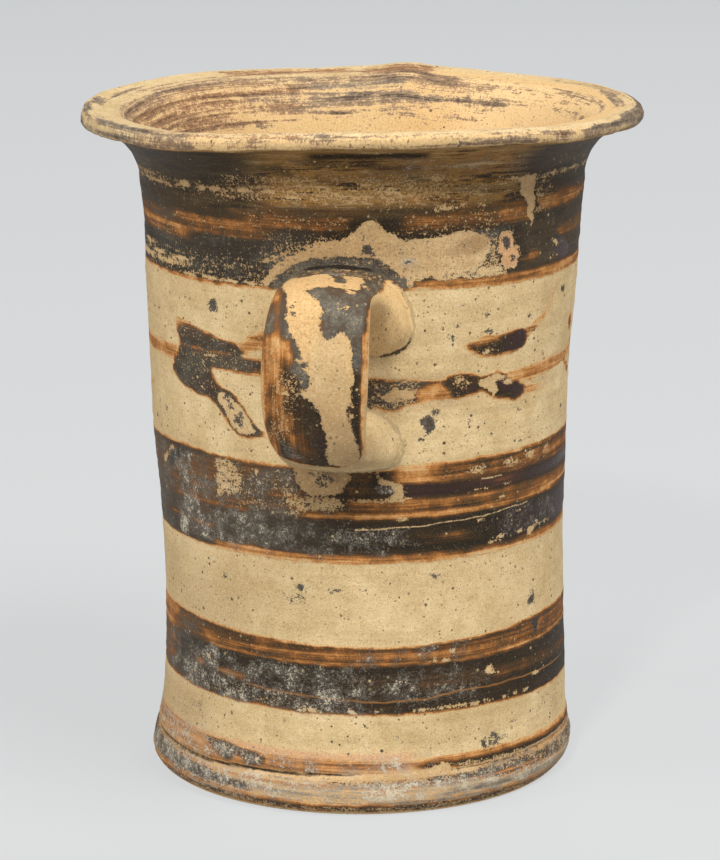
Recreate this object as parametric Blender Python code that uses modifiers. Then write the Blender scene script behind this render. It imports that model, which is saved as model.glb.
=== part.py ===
"""Kyathos: a straight-sided clay cup with a flared rim, a low spreading foot and one
vertical strap handle. The cup was thrown on a wheel and the strap was pressed onto its
wall before firing, so the whole vessel is one piece of clay.

It stands on its flat underside. The origin is the centre of that underside, +Z is up and
the handle points along -Y. All lengths are in metres.
"""

import math

import bmesh
import bpy
from mathutils import Vector

# Driving sizes of the turned cup
HEIGHT = 0.1195
RIM_RADIUS = 0.0497
BASE_RADIUS = 0.0366
FOOT_RADIUS = 0.0383
FLOOR_THICKNESS = 0.0060
TURN_STEPS = 64
MERGE_DISTANCE = 0.00002

# The wall's outer side, (height, radius), from above the foot up to the neck under the flare
WALL = [(0.0125, 0.0368), (0.0280, 0.0361), (0.0460, 0.0363), (0.0640, 0.0372),
        (0.0760, 0.0377), (0.0880, 0.0382), (0.0980, 0.0386), (0.1070, 0.0395)]

# The foot under it: the wall spreads to a cut line, then slopes out to its widest, and a
# rounded edge turns in to the flat underside
GROOVE_HEIGHT = 0.0071
GROOVE_DEPTH = 0.0007
GROOVE_HALF_WIDTH = 0.0006
SPREAD_RADIUS = 0.0375
FOOT_WIDEST_HEIGHT = 0.0034
FOOT_ROUNDING = 0.0018

# The outer flare is most of a quarter of an ellipse, from the neck to the lip, and the
# lip's edge is an elliptical arc too. Angles are in degrees from the outward direction.
FLARE_REACH = 0.0091
FLARE_RISE = 0.0090
FLARE_ANGLES = (98, 174)
FLARE_STEPS = 8
LIP_HALF_THICKNESS = 0.0018
LIP_ROUNDING = 0.0018
LIP_ANGLES = (88, -60)
LIP_STEPS = 7
FOOT_ANGLES = (8, -76)
FOOT_STEPS = 5

# The inner side, (height, radius): a broad lip, a funnel and a nearly straight bore
FUNNEL = [(0.1192, 0.0468), (0.1180, 0.0420), (0.1142, 0.0386), (0.1075, 0.0360),
          (0.0980, 0.0342)]
BORE = [(0.0980, 0.0342), (0.0600, 0.0328), (0.0360, 0.0320), (0.0102, 0.0317)]
FLOOR_FILLET = 0.0042
FLOOR_FILLET_STEPS = 4
SIDE_STEPS = 2

# The strap, by hand, from inside the wall at the top to inside it at the bottom. Each row
# has the outer face's reach and height, the inner face's reach and height, then the outer
# face's left and right edge and the inner face's left and right edge. The clay was smeared
# onto the wall further on the right.
STRAP = [
    (0.0342, 0.0968, 0.0342, 0.0796, -0.0102, 0.0118, -0.0108, 0.0150),
    (0.0388, 0.0967, 0.0386, 0.0822, -0.0090, 0.0104, -0.0098, 0.0142),
    (0.0432, 0.0965, 0.0426, 0.0892, -0.0083, 0.0086, -0.0085, 0.0108),
    (0.0500, 0.0962, 0.0482, 0.0910, -0.0082, 0.0081, -0.0082, 0.0081),
    (0.0556, 0.0936, 0.0512, 0.0886, -0.0086, 0.0083, -0.0086, 0.0083),
    (0.0578, 0.0866, 0.0522, 0.0848, -0.0092, 0.0084, -0.0092, 0.0084),
    (0.0578, 0.0780, 0.0522, 0.0784, -0.0092, 0.0083, -0.0092, 0.0083),
    (0.0564, 0.0708, 0.0510, 0.0730, -0.0084, 0.0079, -0.0084, 0.0079),
    (0.0524, 0.0660, 0.0478, 0.0702, -0.0072, 0.0074, -0.0072, 0.0076),
    (0.0456, 0.0638, 0.0428, 0.0702, -0.0076, 0.0092, -0.0076, 0.0080),
    (0.0390, 0.0621, 0.0386, 0.0722, -0.0088, 0.0120, -0.0086, 0.0084),
    (0.0342, 0.0612, 0.0342, 0.0748, -0.0098, 0.0142, -0.0094, 0.0090),
]
STRAP_STEPS = 2
STRAP_SIDES = 20
STRAP_SQUARENESS = 2.7

# What hand work did to the turned shape. The wall leans a little to one side and back, by
# these amounts at these heights, towards a direction just off +X.
LEAN_ANGLE = math.radians(7.3)
LEAN = [(0.0, 0.0), (0.005, 0.00070), (0.020, 0.00105), (0.030, 0.00090), (0.048, 0.00040),
        (0.065, 0.0), (0.075, -0.00010), (0.088, 0.00010), (0.100, 0.00038), (0.120, 0.00020)]

# The rim rises and falls on its way round: (degrees from -Y towards +X, rise). It stands
# highest over the handle, and has one short hump at the back.
RIM_RISE = [(-173, 0.0003), (-163, 0.0), (-129, 0.0002), (-107, -0.0001), (-53, 0.0),
            (-36, -0.0001), (-22, 0.0005), (-8, 0.0013), (4, 0.0017), (22, 0.0017),
            (36, 0.0015), (54, 0.0008), (77, 0.0006), (97, -0.0001), (147, 0.0),
            (166, 0.0002), (176, 0.0009), (187, 0.0003)]
RIM_START = 0.1020

# The lip is thinner towards this side, and worn flat on the other
THIN_ANGLE = math.radians(40.0)
THINNING = 0.0005
WORN_ANGLE = math.radians(-82.7)
WORN_REACH = 0.0492

CLAY_COLOUR = (0.66, 0.49, 0.27, 1.0)
CLAY_ROUGHNESS = 0.62
SHARP_ANGLE = math.radians(38.0)


def new_collection(name):
    """Adds an empty collection to the scene and returns it."""
    collection = bpy.data.collections.new(name)
    bpy.context.scene.collection.children.link(collection)
    return collection


def clay_material():
    """Buff fired clay, matt to the eye."""
    material = bpy.data.materials.new("fired_clay")
    material.use_nodes = True
    shader = material.node_tree.nodes["Principled BSDF"]
    shader.inputs["Base Color"].default_value = CLAY_COLOUR
    shader.inputs["Roughness"].default_value = CLAY_ROUGHNESS
    shader.inputs["Metallic"].default_value = 0.0
    return material


def smooth_step(value, low, high):
    """0 below low, 1 above high, and an even S-curve between them."""
    t = min(max((value - low) / (high - low), 0.0), 1.0)
    return t * t * (3.0 - 2.0 * t)


def arc(centre, radii, degrees, steps):
    """Points (radius, height) along an elliptical arc between two angles."""
    start, end = degrees
    points = []
    for step in range(steps + 1):
        angle = math.radians(start + (end - start) * step / steps)
        points.append((centre[0] + radii[0] * math.cos(angle),
                       centre[1] + radii[1] * math.sin(angle)))
    return points


def smooth_rows(rows, steps):
    """A Catmull-Rom curve through rows of numbers, with steps pieces between two rows."""
    first = [2 * a - b for a, b in zip(rows[0], rows[1])]
    last = [2 * a - b for a, b in zip(rows[-1], rows[-2])]
    padded = [first, *rows, last]
    result = []
    for i in range(1, len(padded) - 2):
        for step in range(steps):
            t = step / steps
            result.append([
                0.5 * (2 * b + (c - a) * t + (2 * a - 5 * b + 4 * c - d) * t ** 2
                       + (3 * b - 3 * c + d - a) * t ** 3)
                for a, b, c, d in zip(*padded[i - 1:i + 3])
            ])
    result.append(list(rows[-1]))
    return result


def inner_profile():
    """The inside from the floor's centre up to the mouth's edge, as (radius, height)."""
    side = smooth_rows(FUNNEL, SIDE_STEPS) + smooth_rows(BORE, SIDE_STEPS)[1:]
    corner = (BORE[-1][1] - FLOOR_FILLET, FLOOR_THICKNESS + FLOOR_FILLET)
    fillet = arc(corner, (FLOOR_FILLET, FLOOR_FILLET), (-90, 0), FLOOR_FILLET_STEPS)
    floor = [(0.0, FLOOR_THICKNESS)] + fillet[:-1]
    return floor + [(radius, height) for height, radius in side[::-1]]


def outer_profile():
    """The outside from the lip's top down to the underside's centre, as (radius, height)."""
    lip_centre = (RIM_RADIUS - LIP_ROUNDING, HEIGHT - LIP_HALF_THICKNESS)
    lip = arc(lip_centre, (LIP_ROUNDING, LIP_HALF_THICKNESS), LIP_ANGLES, LIP_STEPS)
    neck_height, neck_radius = WALL[-1]
    flare_centre = (neck_radius + FLARE_REACH, neck_height)
    flare = arc(flare_centre, (FLARE_REACH, FLARE_RISE), FLARE_ANGLES, FLARE_STEPS)
    wall = [(radius, height) for height, radius in WALL[::-1]]
    groove = [(SPREAD_RADIUS, GROOVE_HEIGHT + GROOVE_HALF_WIDTH),
              (SPREAD_RADIUS - GROOVE_DEPTH, GROOVE_HEIGHT),
              (SPREAD_RADIUS, GROOVE_HEIGHT - GROOVE_HALF_WIDTH)]
    foot_centre = (FOOT_RADIUS - FOOT_ROUNDING, FOOT_WIDEST_HEIGHT)
    foot = arc(foot_centre, (FOOT_ROUNDING, FOOT_WIDEST_HEIGHT), FOOT_ANGLES, FOOT_STEPS)
    return lip + flare + wall + groove + foot + [(BASE_RADIUS, 0.0), (0.0, 0.0)]


def turned_cup(collection):
    """The cup before any hand work: its profile, turned about Z with a Screw modifier."""
    profile = inner_profile() + outer_profile()
    mesh = bpy.data.meshes.new("cup_profile")
    edges = [(i, i + 1) for i in range(len(profile) - 1)]
    mesh.from_pydata([(radius, 0.0, height) for radius, height in profile], edges, [])
    cup = bpy.data.objects.new("cup_profile", mesh)
    collection.objects.link(cup)
    screw = cup.modifiers.new("turn", "SCREW")
    screw.axis = "Z"
    screw.angle = math.tau
    screw.steps = TURN_STEPS
    screw.render_steps = TURN_STEPS
    screw.use_merge_vertices = True
    screw.merge_threshold = MERGE_DISTANCE
    return cup


def lean_at(height):
    """How far the wall's centre is shifted at this height."""
    for (low, shift_low), (high, shift_high) in zip(LEAN, LEAN[1:]):
        if height <= high:
            return shift_low + (shift_high - shift_low) * smooth_step(height, low, high)
    return LEAN[-1][1]


def rise_at(angle):
    """How far the rim stands above or below its mean height in this direction."""
    degrees = math.degrees(angle)
    if degrees < RIM_RISE[0][0]:
        degrees += 360.0
    for (low, rise_low), (high, rise_high) in zip(RIM_RISE, RIM_RISE[1:]):
        if degrees <= high:
            return rise_low + (rise_high - rise_low) * smooth_step(degrees, low, high)
    return RIM_RISE[-1][1]


def by_hand(point):
    """Where a point of the true turned shape ends up on the hand-made one."""
    moved = point.copy()
    angle = math.atan2(point.x, -point.y)
    lip_middle = HEIGHT - LIP_HALF_THICKNESS
    rim_share = smooth_step(point.z, RIM_START, lip_middle)
    moved.z += rim_share * rise_at(angle)
    under_share = rim_share * (1.0 - smooth_step(point.z, lip_middle, HEIGHT))
    moved.z += under_share * THINNING * (0.5 + 0.5 * math.cos(angle - THIN_ANGLE))
    worn_side = Vector((math.sin(WORN_ANGLE), -math.cos(WORN_ANGLE), 0.0))
    beyond = point.dot(worn_side) - WORN_REACH
    if beyond > 0.0:
        moved -= beyond * worn_side
    lean_side = Vector((math.cos(LEAN_ANGLE), math.sin(LEAN_ANGLE), 0.0))
    return moved + lean_at(point.z) * lean_side


def to_mesh_object(source, name, collection):
    """Makes a plain mesh of an object as its modifiers show it, and removes the object."""
    evaluated = source.evaluated_get(bpy.context.evaluated_depsgraph_get())
    mesh = bpy.data.meshes.new_from_object(evaluated)
    mesh.name = name
    plain = bpy.data.objects.new(name, mesh)
    plain.matrix_world = source.matrix_world
    collection.objects.link(plain)
    bpy.data.objects.remove(source)
    return plain


def strap_section(row):
    """One cross-section of the strap: a four-sided outline with rounded corners."""
    outer_reach, outer_height, inner_reach, inner_height, *edges = row
    outer_left, outer_right, inner_left, inner_right = edges
    power = 2.0 / STRAP_SQUARENESS
    points = []
    for side in range(STRAP_SIDES):
        angle = math.tau * side / STRAP_SIDES
        across = math.copysign(abs(math.cos(angle)) ** power, math.cos(angle))
        through = math.copysign(abs(math.sin(angle)) ** power, math.sin(angle))
        outward = 0.5 + 0.5 * through
        left = inner_left + (outer_left - inner_left) * outward
        right = inner_right + (outer_right - inner_right) * outward
        reach = inner_reach + (outer_reach - inner_reach) * outward
        height = inner_height + (outer_height - inner_height) * outward
        points.append(Vector((left + (right - left) * (0.5 + 0.5 * across), -reach, height)))
    return points


def strap_handle(collection):
    """The strap: a loft through its sections, closed at both ends inside the wall."""
    shape = bmesh.new()
    rings = []
    for row in smooth_rows(STRAP, STRAP_STEPS):
        rings.append([shape.verts.new(by_hand(point)) for point in strap_section(row)])
    for ring, following in zip(rings, rings[1:]):
        for side in range(STRAP_SIDES):
            other = (side + 1) % STRAP_SIDES
            shape.faces.new((ring[side], ring[other], following[other], following[side]))
    shape.faces.new(rings[0][::-1])
    shape.faces.new(rings[-1])
    bmesh.ops.recalc_face_normals(shape, faces=shape.faces)
    mesh = bpy.data.meshes.new("strap")
    shape.to_mesh(mesh)
    shape.free()
    mesh.shade_smooth()
    strap = bpy.data.objects.new("strap", mesh)
    strap.hide_render = True
    strap.display_type = "WIRE"
    collection.objects.link(strap)
    return strap


def build():
    """Makes the cup, shapes it by hand and joins the strap to it."""
    for old in list(bpy.data.objects):
        bpy.data.objects.remove(old, do_unlink=True)
    parts = new_collection("kyathos")
    joined = new_collection("cutters")

    kyathos = to_mesh_object(turned_cup(parts), "kyathos", parts)
    for vertex in kyathos.data.vertices:
        vertex.co = by_hand(vertex.co)
    kyathos.data.materials.append(clay_material())

    union = kyathos.modifiers.new("strap", "BOOLEAN")
    union.operation = "UNION"
    union.solver = "EXACT"
    union.object = strap_handle(joined)
    kyathos.data.shade_smooth()
    kyathos.data.set_sharp_from_angle(angle=SHARP_ANGLE)


build()
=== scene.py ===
"""The kyathos as it looks: buff fired clay with worn brown-black paint in bands, loose brush
strokes on both sides of the handle, rings brushed inside the mouth, and a scuffed foot.

The form is the solid's own, turned again on a fine grid with the marks of the wheel, the
worn lip and the cut line over the foot. Paint, losses, bloom and dirt are laid on that grid
as numbers, together with painted shade (under the lip and the handle, in creases) and
painted light (the strap's top, the lip's front, the inner wall on the right, a glint on a
blister), and one material turns them into colour, gloss and fine relief.

Lengths are in millimetres until the mesh is made. Angles are in degrees from -Y, where the
handle is, towards +X.
"""

import math

import bpy
import numpy as np
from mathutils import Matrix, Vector
from mathutils.kdtree import KDTree


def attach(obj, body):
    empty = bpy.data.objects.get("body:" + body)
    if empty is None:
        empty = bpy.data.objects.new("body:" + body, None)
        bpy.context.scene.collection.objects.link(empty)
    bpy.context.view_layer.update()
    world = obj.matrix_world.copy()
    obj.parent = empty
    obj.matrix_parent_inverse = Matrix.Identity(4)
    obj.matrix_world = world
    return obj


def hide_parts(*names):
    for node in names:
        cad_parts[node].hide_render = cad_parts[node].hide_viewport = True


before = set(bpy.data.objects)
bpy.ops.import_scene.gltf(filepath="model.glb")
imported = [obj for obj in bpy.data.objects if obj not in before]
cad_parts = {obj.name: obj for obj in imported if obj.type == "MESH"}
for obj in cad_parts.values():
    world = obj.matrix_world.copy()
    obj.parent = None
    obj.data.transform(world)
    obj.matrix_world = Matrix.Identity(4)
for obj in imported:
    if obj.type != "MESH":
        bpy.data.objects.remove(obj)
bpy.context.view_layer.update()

MM = 0.001
NODE = "kyathos"
PIECE = "kyathos_fired"
SLOT = "painted_clay"

# The view: how the camera stood, and the picture that it made
VIEW_ANGLE = math.radians(7.3)
CAMERA_REACH = 0.59988
CAMERA_HEIGHT = 0.20183
CAMERA_TILT = 0.2321
CAMERA_ROLL = 0.0016
FOCAL_LENGTH_PIXELS = 3417.69
PICTURE_HEIGHT_PIXELS = 860
SENSOR_SIZE = 36.0

# The turned form, as the solid has it
HEIGHT = 119.5
RIM_RADIUS = 49.7
BASE_RADIUS = 36.6
FLOOR_THICKNESS = 6.0
LIP_HALF_THICKNESS = 1.8
LIP_ROUNDING = 1.8
LIP_ANGLES = (88, -60)
FLARE_REACH = 9.1
FLARE_RISE = 9.0
FLARE_ANGLES = (98, 174)
FLOOR_FILLET = 4.2
WALL = [(39.5, 107), (38.6, 98), (38.2, 88), (37.7, 76), (37.2, 64), (36.3, 46),
        (36.1, 28), (36.8, 12.5)]
FOOT = [(36.8, 12.5), (37.05, 10.4), (37.45, 8.2), (37.6, 7), (37.75, 5.8), (38.15, 4.2),
        (38.25, 3), (38.1, 1.9), (37.5, 0.9), (36.9, 0.25), (36.6, 0)]
FUNNEL = [(46.8, 119.2), (42, 118), (38.6, 114.2), (36, 107.5), (34.2, 98)]
BORE = [(34.2, 98), (32.8, 60), (32, 36), (31.7, 10.2)]

# What hand work did to it: the lean, the wavy rim, how far its underside is lifted, and the
# worn side
LEAN_ANGLE = 7.3
LEAN = [(0, 0), (5, 0.70), (20, 1.05), (30, 0.90), (48, 0.40), (65, 0),
        (75, -0.10), (88, 0.10), (100, 0.38), (120, 0.20)]
RIM_RISE = [(-173, 0.4), (-163, 0.1), (-129, 0.5), (-107, 0.3), (-85, 0.2), (-53, 0),
            (-36, -0.1), (-22, 0.5), (-8, 1.3), (4, 1.7), (22, 1.7), (36, 1.5), (54, 0.8),
            (77, 0.7), (97, 0.3), (125, 0.35), (147, 0.15), (166, 0.5), (176, 1.2), (187, 0.4)]
RIM_START = 102.0
UNDER_LIFT = [(-180, 0), (-112, -0.05), (-95, -0.58), (-76, -0.58), (-60, -0.15), (-48, 0.12),
              (0, 0.44), (40, 0.5), (70, 0.42), (85, 0.16), (104, 0.10), (130, 0.10), (180, 0)]
WORN_ANGLE = -82.7
WORN_REACH = 49.2

# The strap's rows, as the solid has them: the outer face's reach and height, the inner
# face's reach and height, the outer face's left and right edge, the inner face's two edges
STRAP = [
    (34.2, 96.8, 34.2, 80.2, -10.2, 11.8, -10.8, 15),
    (38.8, 96.7, 38.6, 82.8, -9, 10.4, -9.8, 14.2),
    (43.2, 96.5, 42.6, 89.4, -8.3, 8.6, -8.5, 10.8),
    (50, 96.2, 48.2, 91, -8.2, 8.1, -8.2, 8.1),
    (55.6, 93.6, 51.2, 88.6, -8.6, 8.3, -8.6, 8.3),
    (57.8, 86.6, 52.2, 84.8, -9.2, 8.4, -9.2, 8.4),
    (57.8, 78, 52.2, 78.4, -9.2, 8.3, -9.2, 8.3),
    (56.4, 70.8, 51, 73, -8.4, 7.9, -8.4, 7.9),
    (52.4, 66, 47.8, 70.2, -7.2, 7.4, -7.2, 7.6),
    (45.6, 63.8, 42.8, 70.2, -7.6, 9.2, -7.6, 8),
    (39, 62.1, 38.6, 72.2, -8.8, 12, -8.6, 8.4),
    (34.2, 61.2, 34.2, 74.8, -9.8, 14.2, -9.4, 9),
]
STRAP_STEPS = 11
STRAP_SIDES = 54
STRAP_SQUARENESS = 2.7

# The grid: columns close together where the photograph looks, rows close where paint is
FRONT_PITCH = 0.9
BACK_PITCH = 2.9
FRONT_REACH = 86.0
PITCH_CHANGE = 14.0
ROW_PITCHES = [(0, 0.42), (18, 0.42), (31, 0.42), (33, 1), (43, 1),
               (45, 0.42), (63, 0.42), (65, 0.72), (90, 0.72), (92, 0.5),
               (107, 0.5)]
LIP_STEPS = 13
FLARE_PITCH = 0.55
FUNNEL_PITCH = 0.95
BORE_PITCH = 2.8
FLAT_PITCH = 4.2
CENTRE_RADIUS = 0.4
# Below this height the underside is flat
STANDING_HEIGHT = 0.02

# How far a degree goes round the wall and round the mouth, and mm that count as out of reach
MM_PER_DEGREE = 38.0 * math.pi / 180.0
MOUTH_MM_PER_DEGREE = 41 * math.pi / 180
FAR = 9.0


def smooth_step(value, low, high):
    """0 below low, 1 above high, and an even S-curve between them."""
    share = np.clip((value - low) / (high - low), 0.0, 1.0)
    return share * share * (3.0 - 2.0 * share)


def follow(table, position):
    """Reads a table of (position, value) pairs, eased between them."""
    places, values = np.array(table, float).T
    index = np.clip(np.searchsorted(places, position) - 1, 0, len(places) - 2)
    share = smooth_step(position, places[index], places[index + 1])
    return values[index] + (values[index + 1] - values[index]) * share


def smooth_rows(rows, steps):
    """A Catmull-Rom curve through rows of numbers, with steps pieces between two rows."""
    rows = np.array(rows, float)
    padded = np.vstack([2 * rows[0] - rows[1], rows, 2 * rows[-1] - rows[-2]])
    result = []
    for a, b, c, d in zip(padded, padded[1:], padded[2:], padded[3:]):
        for t in np.arange(steps) / steps:
            result.append(0.5 * (2 * b + (c - a) * t + (2 * a - 5 * b + 4 * c - d) * t ** 2
                                 + (3 * b - 3 * c + d - a) * t ** 3))
    result.append(rows[-1])
    return np.array(result)


def travelled(points):
    """The distance along a polyline at each of its points."""
    return np.r_[0.0, np.cumsum(np.hypot(*np.diff(points, axis=0).T))]


def evenly(points, pitch):
    """A polyline's points again, spaced about pitch apart, both ends kept."""
    along = travelled(points)
    places = np.linspace(0.0, along[-1], max(2, round(along[-1] / pitch) + 1))
    return np.column_stack([np.interp(places, along, column) for column in points.T])


def arc(centre, radii, degrees, steps):
    """Points (radius, height) along an elliptical arc between two angles."""
    angles = np.radians(np.linspace(*degrees, steps + 1))
    return np.column_stack([centre[0] + radii[0] * np.cos(angles),
                            centre[1] + radii[1] * np.sin(angles)])


def waves(angle, height, seed, count, lengths, turns):
    """A smooth random surface in about -1..1: a count of waves, each of a length in mm up
    the cup and up to so many turns round it."""
    random = np.random.default_rng(seed)
    total = np.zeros(np.broadcast(angle, height).shape)
    for _ in range(count):
        round_waves = random.integers(-turns, turns + 1)
        up = math.tau / random.uniform(*lengths)
        start = random.uniform(0.0, math.tau)
        total = total + np.cos(round_waves * np.radians(angle) + up * height + start)
    return total / math.sqrt(count)


def turned_rows():
    """The turned outline from the floor's middle, up the inside, over the lip and down to
    the underside's middle, as (radius, height), and the row at the lip's crown."""
    corner = (BORE[-1][0] - FLOOR_FILLET, FLOOR_THICKNESS + FLOOR_FILLET)
    floor = evenly(np.array([(CENTRE_RADIUS, FLOOR_THICKNESS), (corner[0], FLOOR_THICKNESS)]),
                   FLAT_PITCH)
    fillet = arc(corner, (FLOOR_FILLET, FLOOR_FILLET), (-90, 0), 6)
    bore = evenly(smooth_rows(BORE[::-1], 8), BORE_PITCH)
    funnel = evenly(smooth_rows(FUNNEL[::-1], 8), FUNNEL_PITCH)
    lip_centre = (RIM_RADIUS - LIP_ROUNDING, HEIGHT - LIP_HALF_THICKNESS)
    lip = arc(lip_centre, (LIP_ROUNDING, LIP_HALF_THICKNESS), LIP_ANGLES, LIP_STEPS)
    flare_centre = (WALL[0][0] + FLARE_REACH, WALL[0][1])
    flare = evenly(arc(flare_centre, (FLARE_REACH, FLARE_RISE), FLARE_ANGLES, 60), FLARE_PITCH)
    wall = wall_rows()
    underside = evenly(np.array([(BASE_RADIUS, 0.0), (CENTRE_RADIUS, 0.0)]), FLAT_PITCH)
    inside = np.vstack([floor, fillet[1:], bore[1:], funnel[1:]])
    return np.vstack([inside, lip, flare, wall, underside[1:]]), len(inside)


def wall_rows():
    """The outer side from the neck to the underside, closest where the paint is."""
    curve = np.vstack([smooth_rows(WALL, 12)[1:], smooth_rows(FOOT, 12)[1:]])
    along = travelled(curve)
    heights, pitches = np.array(ROW_PITCHES).T
    pitch = np.interp(curve[:, 1], heights, pitches)
    count = np.r_[0.0, np.cumsum(np.diff(along) / pitch[1:])]
    places = np.interp(np.linspace(0.0, count[-1], round(count[-1]) + 1), count, along)
    return np.column_stack([np.interp(places, along, column) for column in curve.T])


def column_angles():
    """The columns' directions, once round, close together on the handle's side."""
    fine = np.linspace(-180.0, 180.0, 7201)
    share = smooth_step(np.abs(fine), FRONT_REACH, FRONT_REACH + PITCH_CHANGE)
    pitch = FRONT_PITCH + (BACK_PITCH - FRONT_PITCH) * share
    count = np.cumsum(1.0 / pitch)
    count = (count - count[0]) / (count[-1] - count[0])
    columns = round((fine[1] - fine[0]) * np.sum(1.0 / pitch))
    return np.interp(np.arange(columns) / columns, count, fine)


def by_hand(x, y, z):
    """Where hand work left a point of the true turned shape."""
    angle = np.degrees(np.arctan2(x, -y))
    lip_middle = HEIGHT - LIP_HALF_THICKNESS
    turned = np.where(angle < RIM_RISE[0][0], angle + 360.0, angle)
    rim_share = smooth_step(z, RIM_START, lip_middle)
    under_share = rim_share * (1.0 - smooth_step(z, lip_middle, HEIGHT))
    height = z + rim_share * follow(RIM_RISE, turned) + under_share * follow(UNDER_LIFT, angle)
    worn_x, worn_y = math.sin(math.radians(WORN_ANGLE)), -math.cos(math.radians(WORN_ANGLE))
    beyond = np.maximum(x * worn_x + y * worn_y - WORN_REACH, 0.0)
    lean = follow(LEAN, z)
    lean_x, lean_y = math.cos(math.radians(LEAN_ANGLE)), math.sin(math.radians(LEAN_ANGLE))
    return (x - beyond * worn_x + lean * lean_x, y - beyond * worn_y + lean * lean_y, height)


# Where the cut line runs over the foot, and how deep it is: it fades on the right
CUT_HEIGHT = [(-180, 6.6), (-120, 6.4), (-60, 6.35), (-40, 6.3), (-28, 6.8), (-12, 7.1),
              (8, 7.5), (20, 7.7), (40, 7.35), (75, 7.5), (120, 7), (180, 6.6)]
CUT_DEPTH = [(-180, 0.35), (-110, 0.5), (-60, 0.55), (-10, 0.5), (6, 0.32), (14, 0.10),
             (26, 0.10), (36, 0.22), (60, 0.22), (85, 0.14), (140, 0.2), (180, 0.35)]
CUT_WIDTH = 0.34


def outer_relief(angle, height):
    """How far the outer side stands out or in: wheel ridges, dents and the foot's cut line."""
    wheel = 0.035 * waves(angle, height + angle / 120.0, 11, 7, (1.8, 4.6), 1)
    broad = 0.10 * waves(angle, height, 12, 8, (22.0, 60.0), 4)
    dents = 0.030 * waves(angle, height, 13, 16, (4.0, 9.0), 26)
    off_cut = height - follow(CUT_HEIGHT, angle)
    depth = follow(CUT_DEPTH, angle)
    cut = -depth * np.exp(-(off_cut / CUT_WIDTH) ** 2)
    ledge = 0.45 * depth * smooth_step(-off_cut, 0.1, 0.8) * smooth_step(height, 3.0, 5.0)
    flange = smooth_step(height, 9.0, 5.0)
    scuffs = -0.10 * flange * np.maximum(waves(angle, height, 14, 22, (2.0, 6.0), 60), 0.0)
    quiet = smooth_step(height, 0.2, 2.0)
    return quiet * (wheel + broad + dents + scuffs) + cut + ledge


def lip_wear(angle, along):
    """How much the lip has lost, from -1 to 0 mm: small dents, with nicks on the worn side."""
    dents = 0.07 * np.maximum(waves(angle, along, 21, 20, (3.0, 9.0), 46), -0.5)
    rough = 0.10 * np.maximum(waves(angle, along, 22, 24, (1.2, 3.5), 120), 0.0)
    worn = smooth_step(np.cos(np.radians(angle - WORN_ANGLE)), 0.6, 0.95)
    right = 0.6 * smooth_step(np.cos(np.radians(angle - 84.0)), 0.75, 0.97)
    return -(0.05 + dents + rough * (0.25 + worn + right) + 0.10 * worn)


def inner_relief(angle, height):
    """Rings that the fingers left inside, deepest below the funnel."""
    rings = waves(angle, height + angle / 90.0, 31, 5, (4.5, 9.0), 1)
    return 0.14 * rings * smooth_step(height, 112.0, 96.0) + 0.03 * waves(
        angle, height, 32, 12, (3.0, 8.0), 20)


def turned_cup():
    """The cup's grid: points, faces, and each point's angle, height and way from the crown."""
    rows, crown = turned_rows()
    along = travelled(rows)
    along -= along[crown]
    slope = np.gradient(rows, axis=0)
    normal = np.column_stack([-slope[:, 1], slope[:, 0]])
    normal /= np.hypot(*normal.T)[:, None]
    angles = column_angles()
    angle, way = np.meshgrid(angles, along)
    radius = np.repeat(rows[:, :1], len(angles), axis=1)
    height = np.repeat(rows[:, 1:], len(angles), axis=1)

    # The marks of the outer side, the lip and the inside take over from one another along the
    # way, and fade out before the middle of the floor and of the underside
    out_share = smooth_step(way, 4.0, 7.5) * smooth_step(radius, 8.0, 30.0)
    lip_share = smooth_step(way, -5.5, -1.5) * smooth_step(way, 7.5, 4.5)
    in_share = smooth_step(way, -4.0, -8.0) * smooth_step(radius, 4.0, 25.0)
    push = (out_share * outer_relief(angle, height) + lip_share * lip_wear(angle, way)
            + in_share * inner_relief(angle, height))
    radius = radius + push * normal[:, :1]
    raised = height + push * normal[:, 1:]
    x, y, z = by_hand(radius * np.sin(np.radians(angle)), -radius * np.cos(np.radians(angle)),
                      raised)
    z = np.where((way > 0) & (height < STANDING_HEIGHT), 0.0, z)
    points = np.column_stack([x.ravel(), y.ravel(), z.ravel()])
    faces = grid_faces(len(rows), len(angles))
    caps = [((0.0, 0.0, FLOOR_THICKNESS), 0), ((0.0, 0.0, 0.0), len(rows) - 1)]
    for middle, row in caps:
        points = np.vstack([points, by_hand(*middle)])
        ring = row * len(angles) + np.arange(len(angles))
        pairs = zip(ring, np.roll(ring, -1))
        hub = len(points) - 1
        faces += [(hub, b, a) if row == 0 else (hub, a, b) for a, b in pairs]
    flat = [np.r_[part.ravel(), (0.0, 0.0)] for part in (angle, height)]
    ways = np.r_[way.ravel(), along[0], along[-1]]
    return points, faces, flat[0], flat[1], ways


def grid_faces(rows, columns):
    """Four-sided faces between rows of points, closed round the columns."""
    row, column = np.meshgrid(np.arange(rows - 1), np.arange(columns), indexing="ij")
    following = (column + 1) % columns
    corners = (row * columns + column, row * columns + following,
               (row + 1) * columns + following, (row + 1) * columns + column)
    return [tuple(face) for face in np.stack(corners, axis=-1).reshape(-1, 4)]


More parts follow.
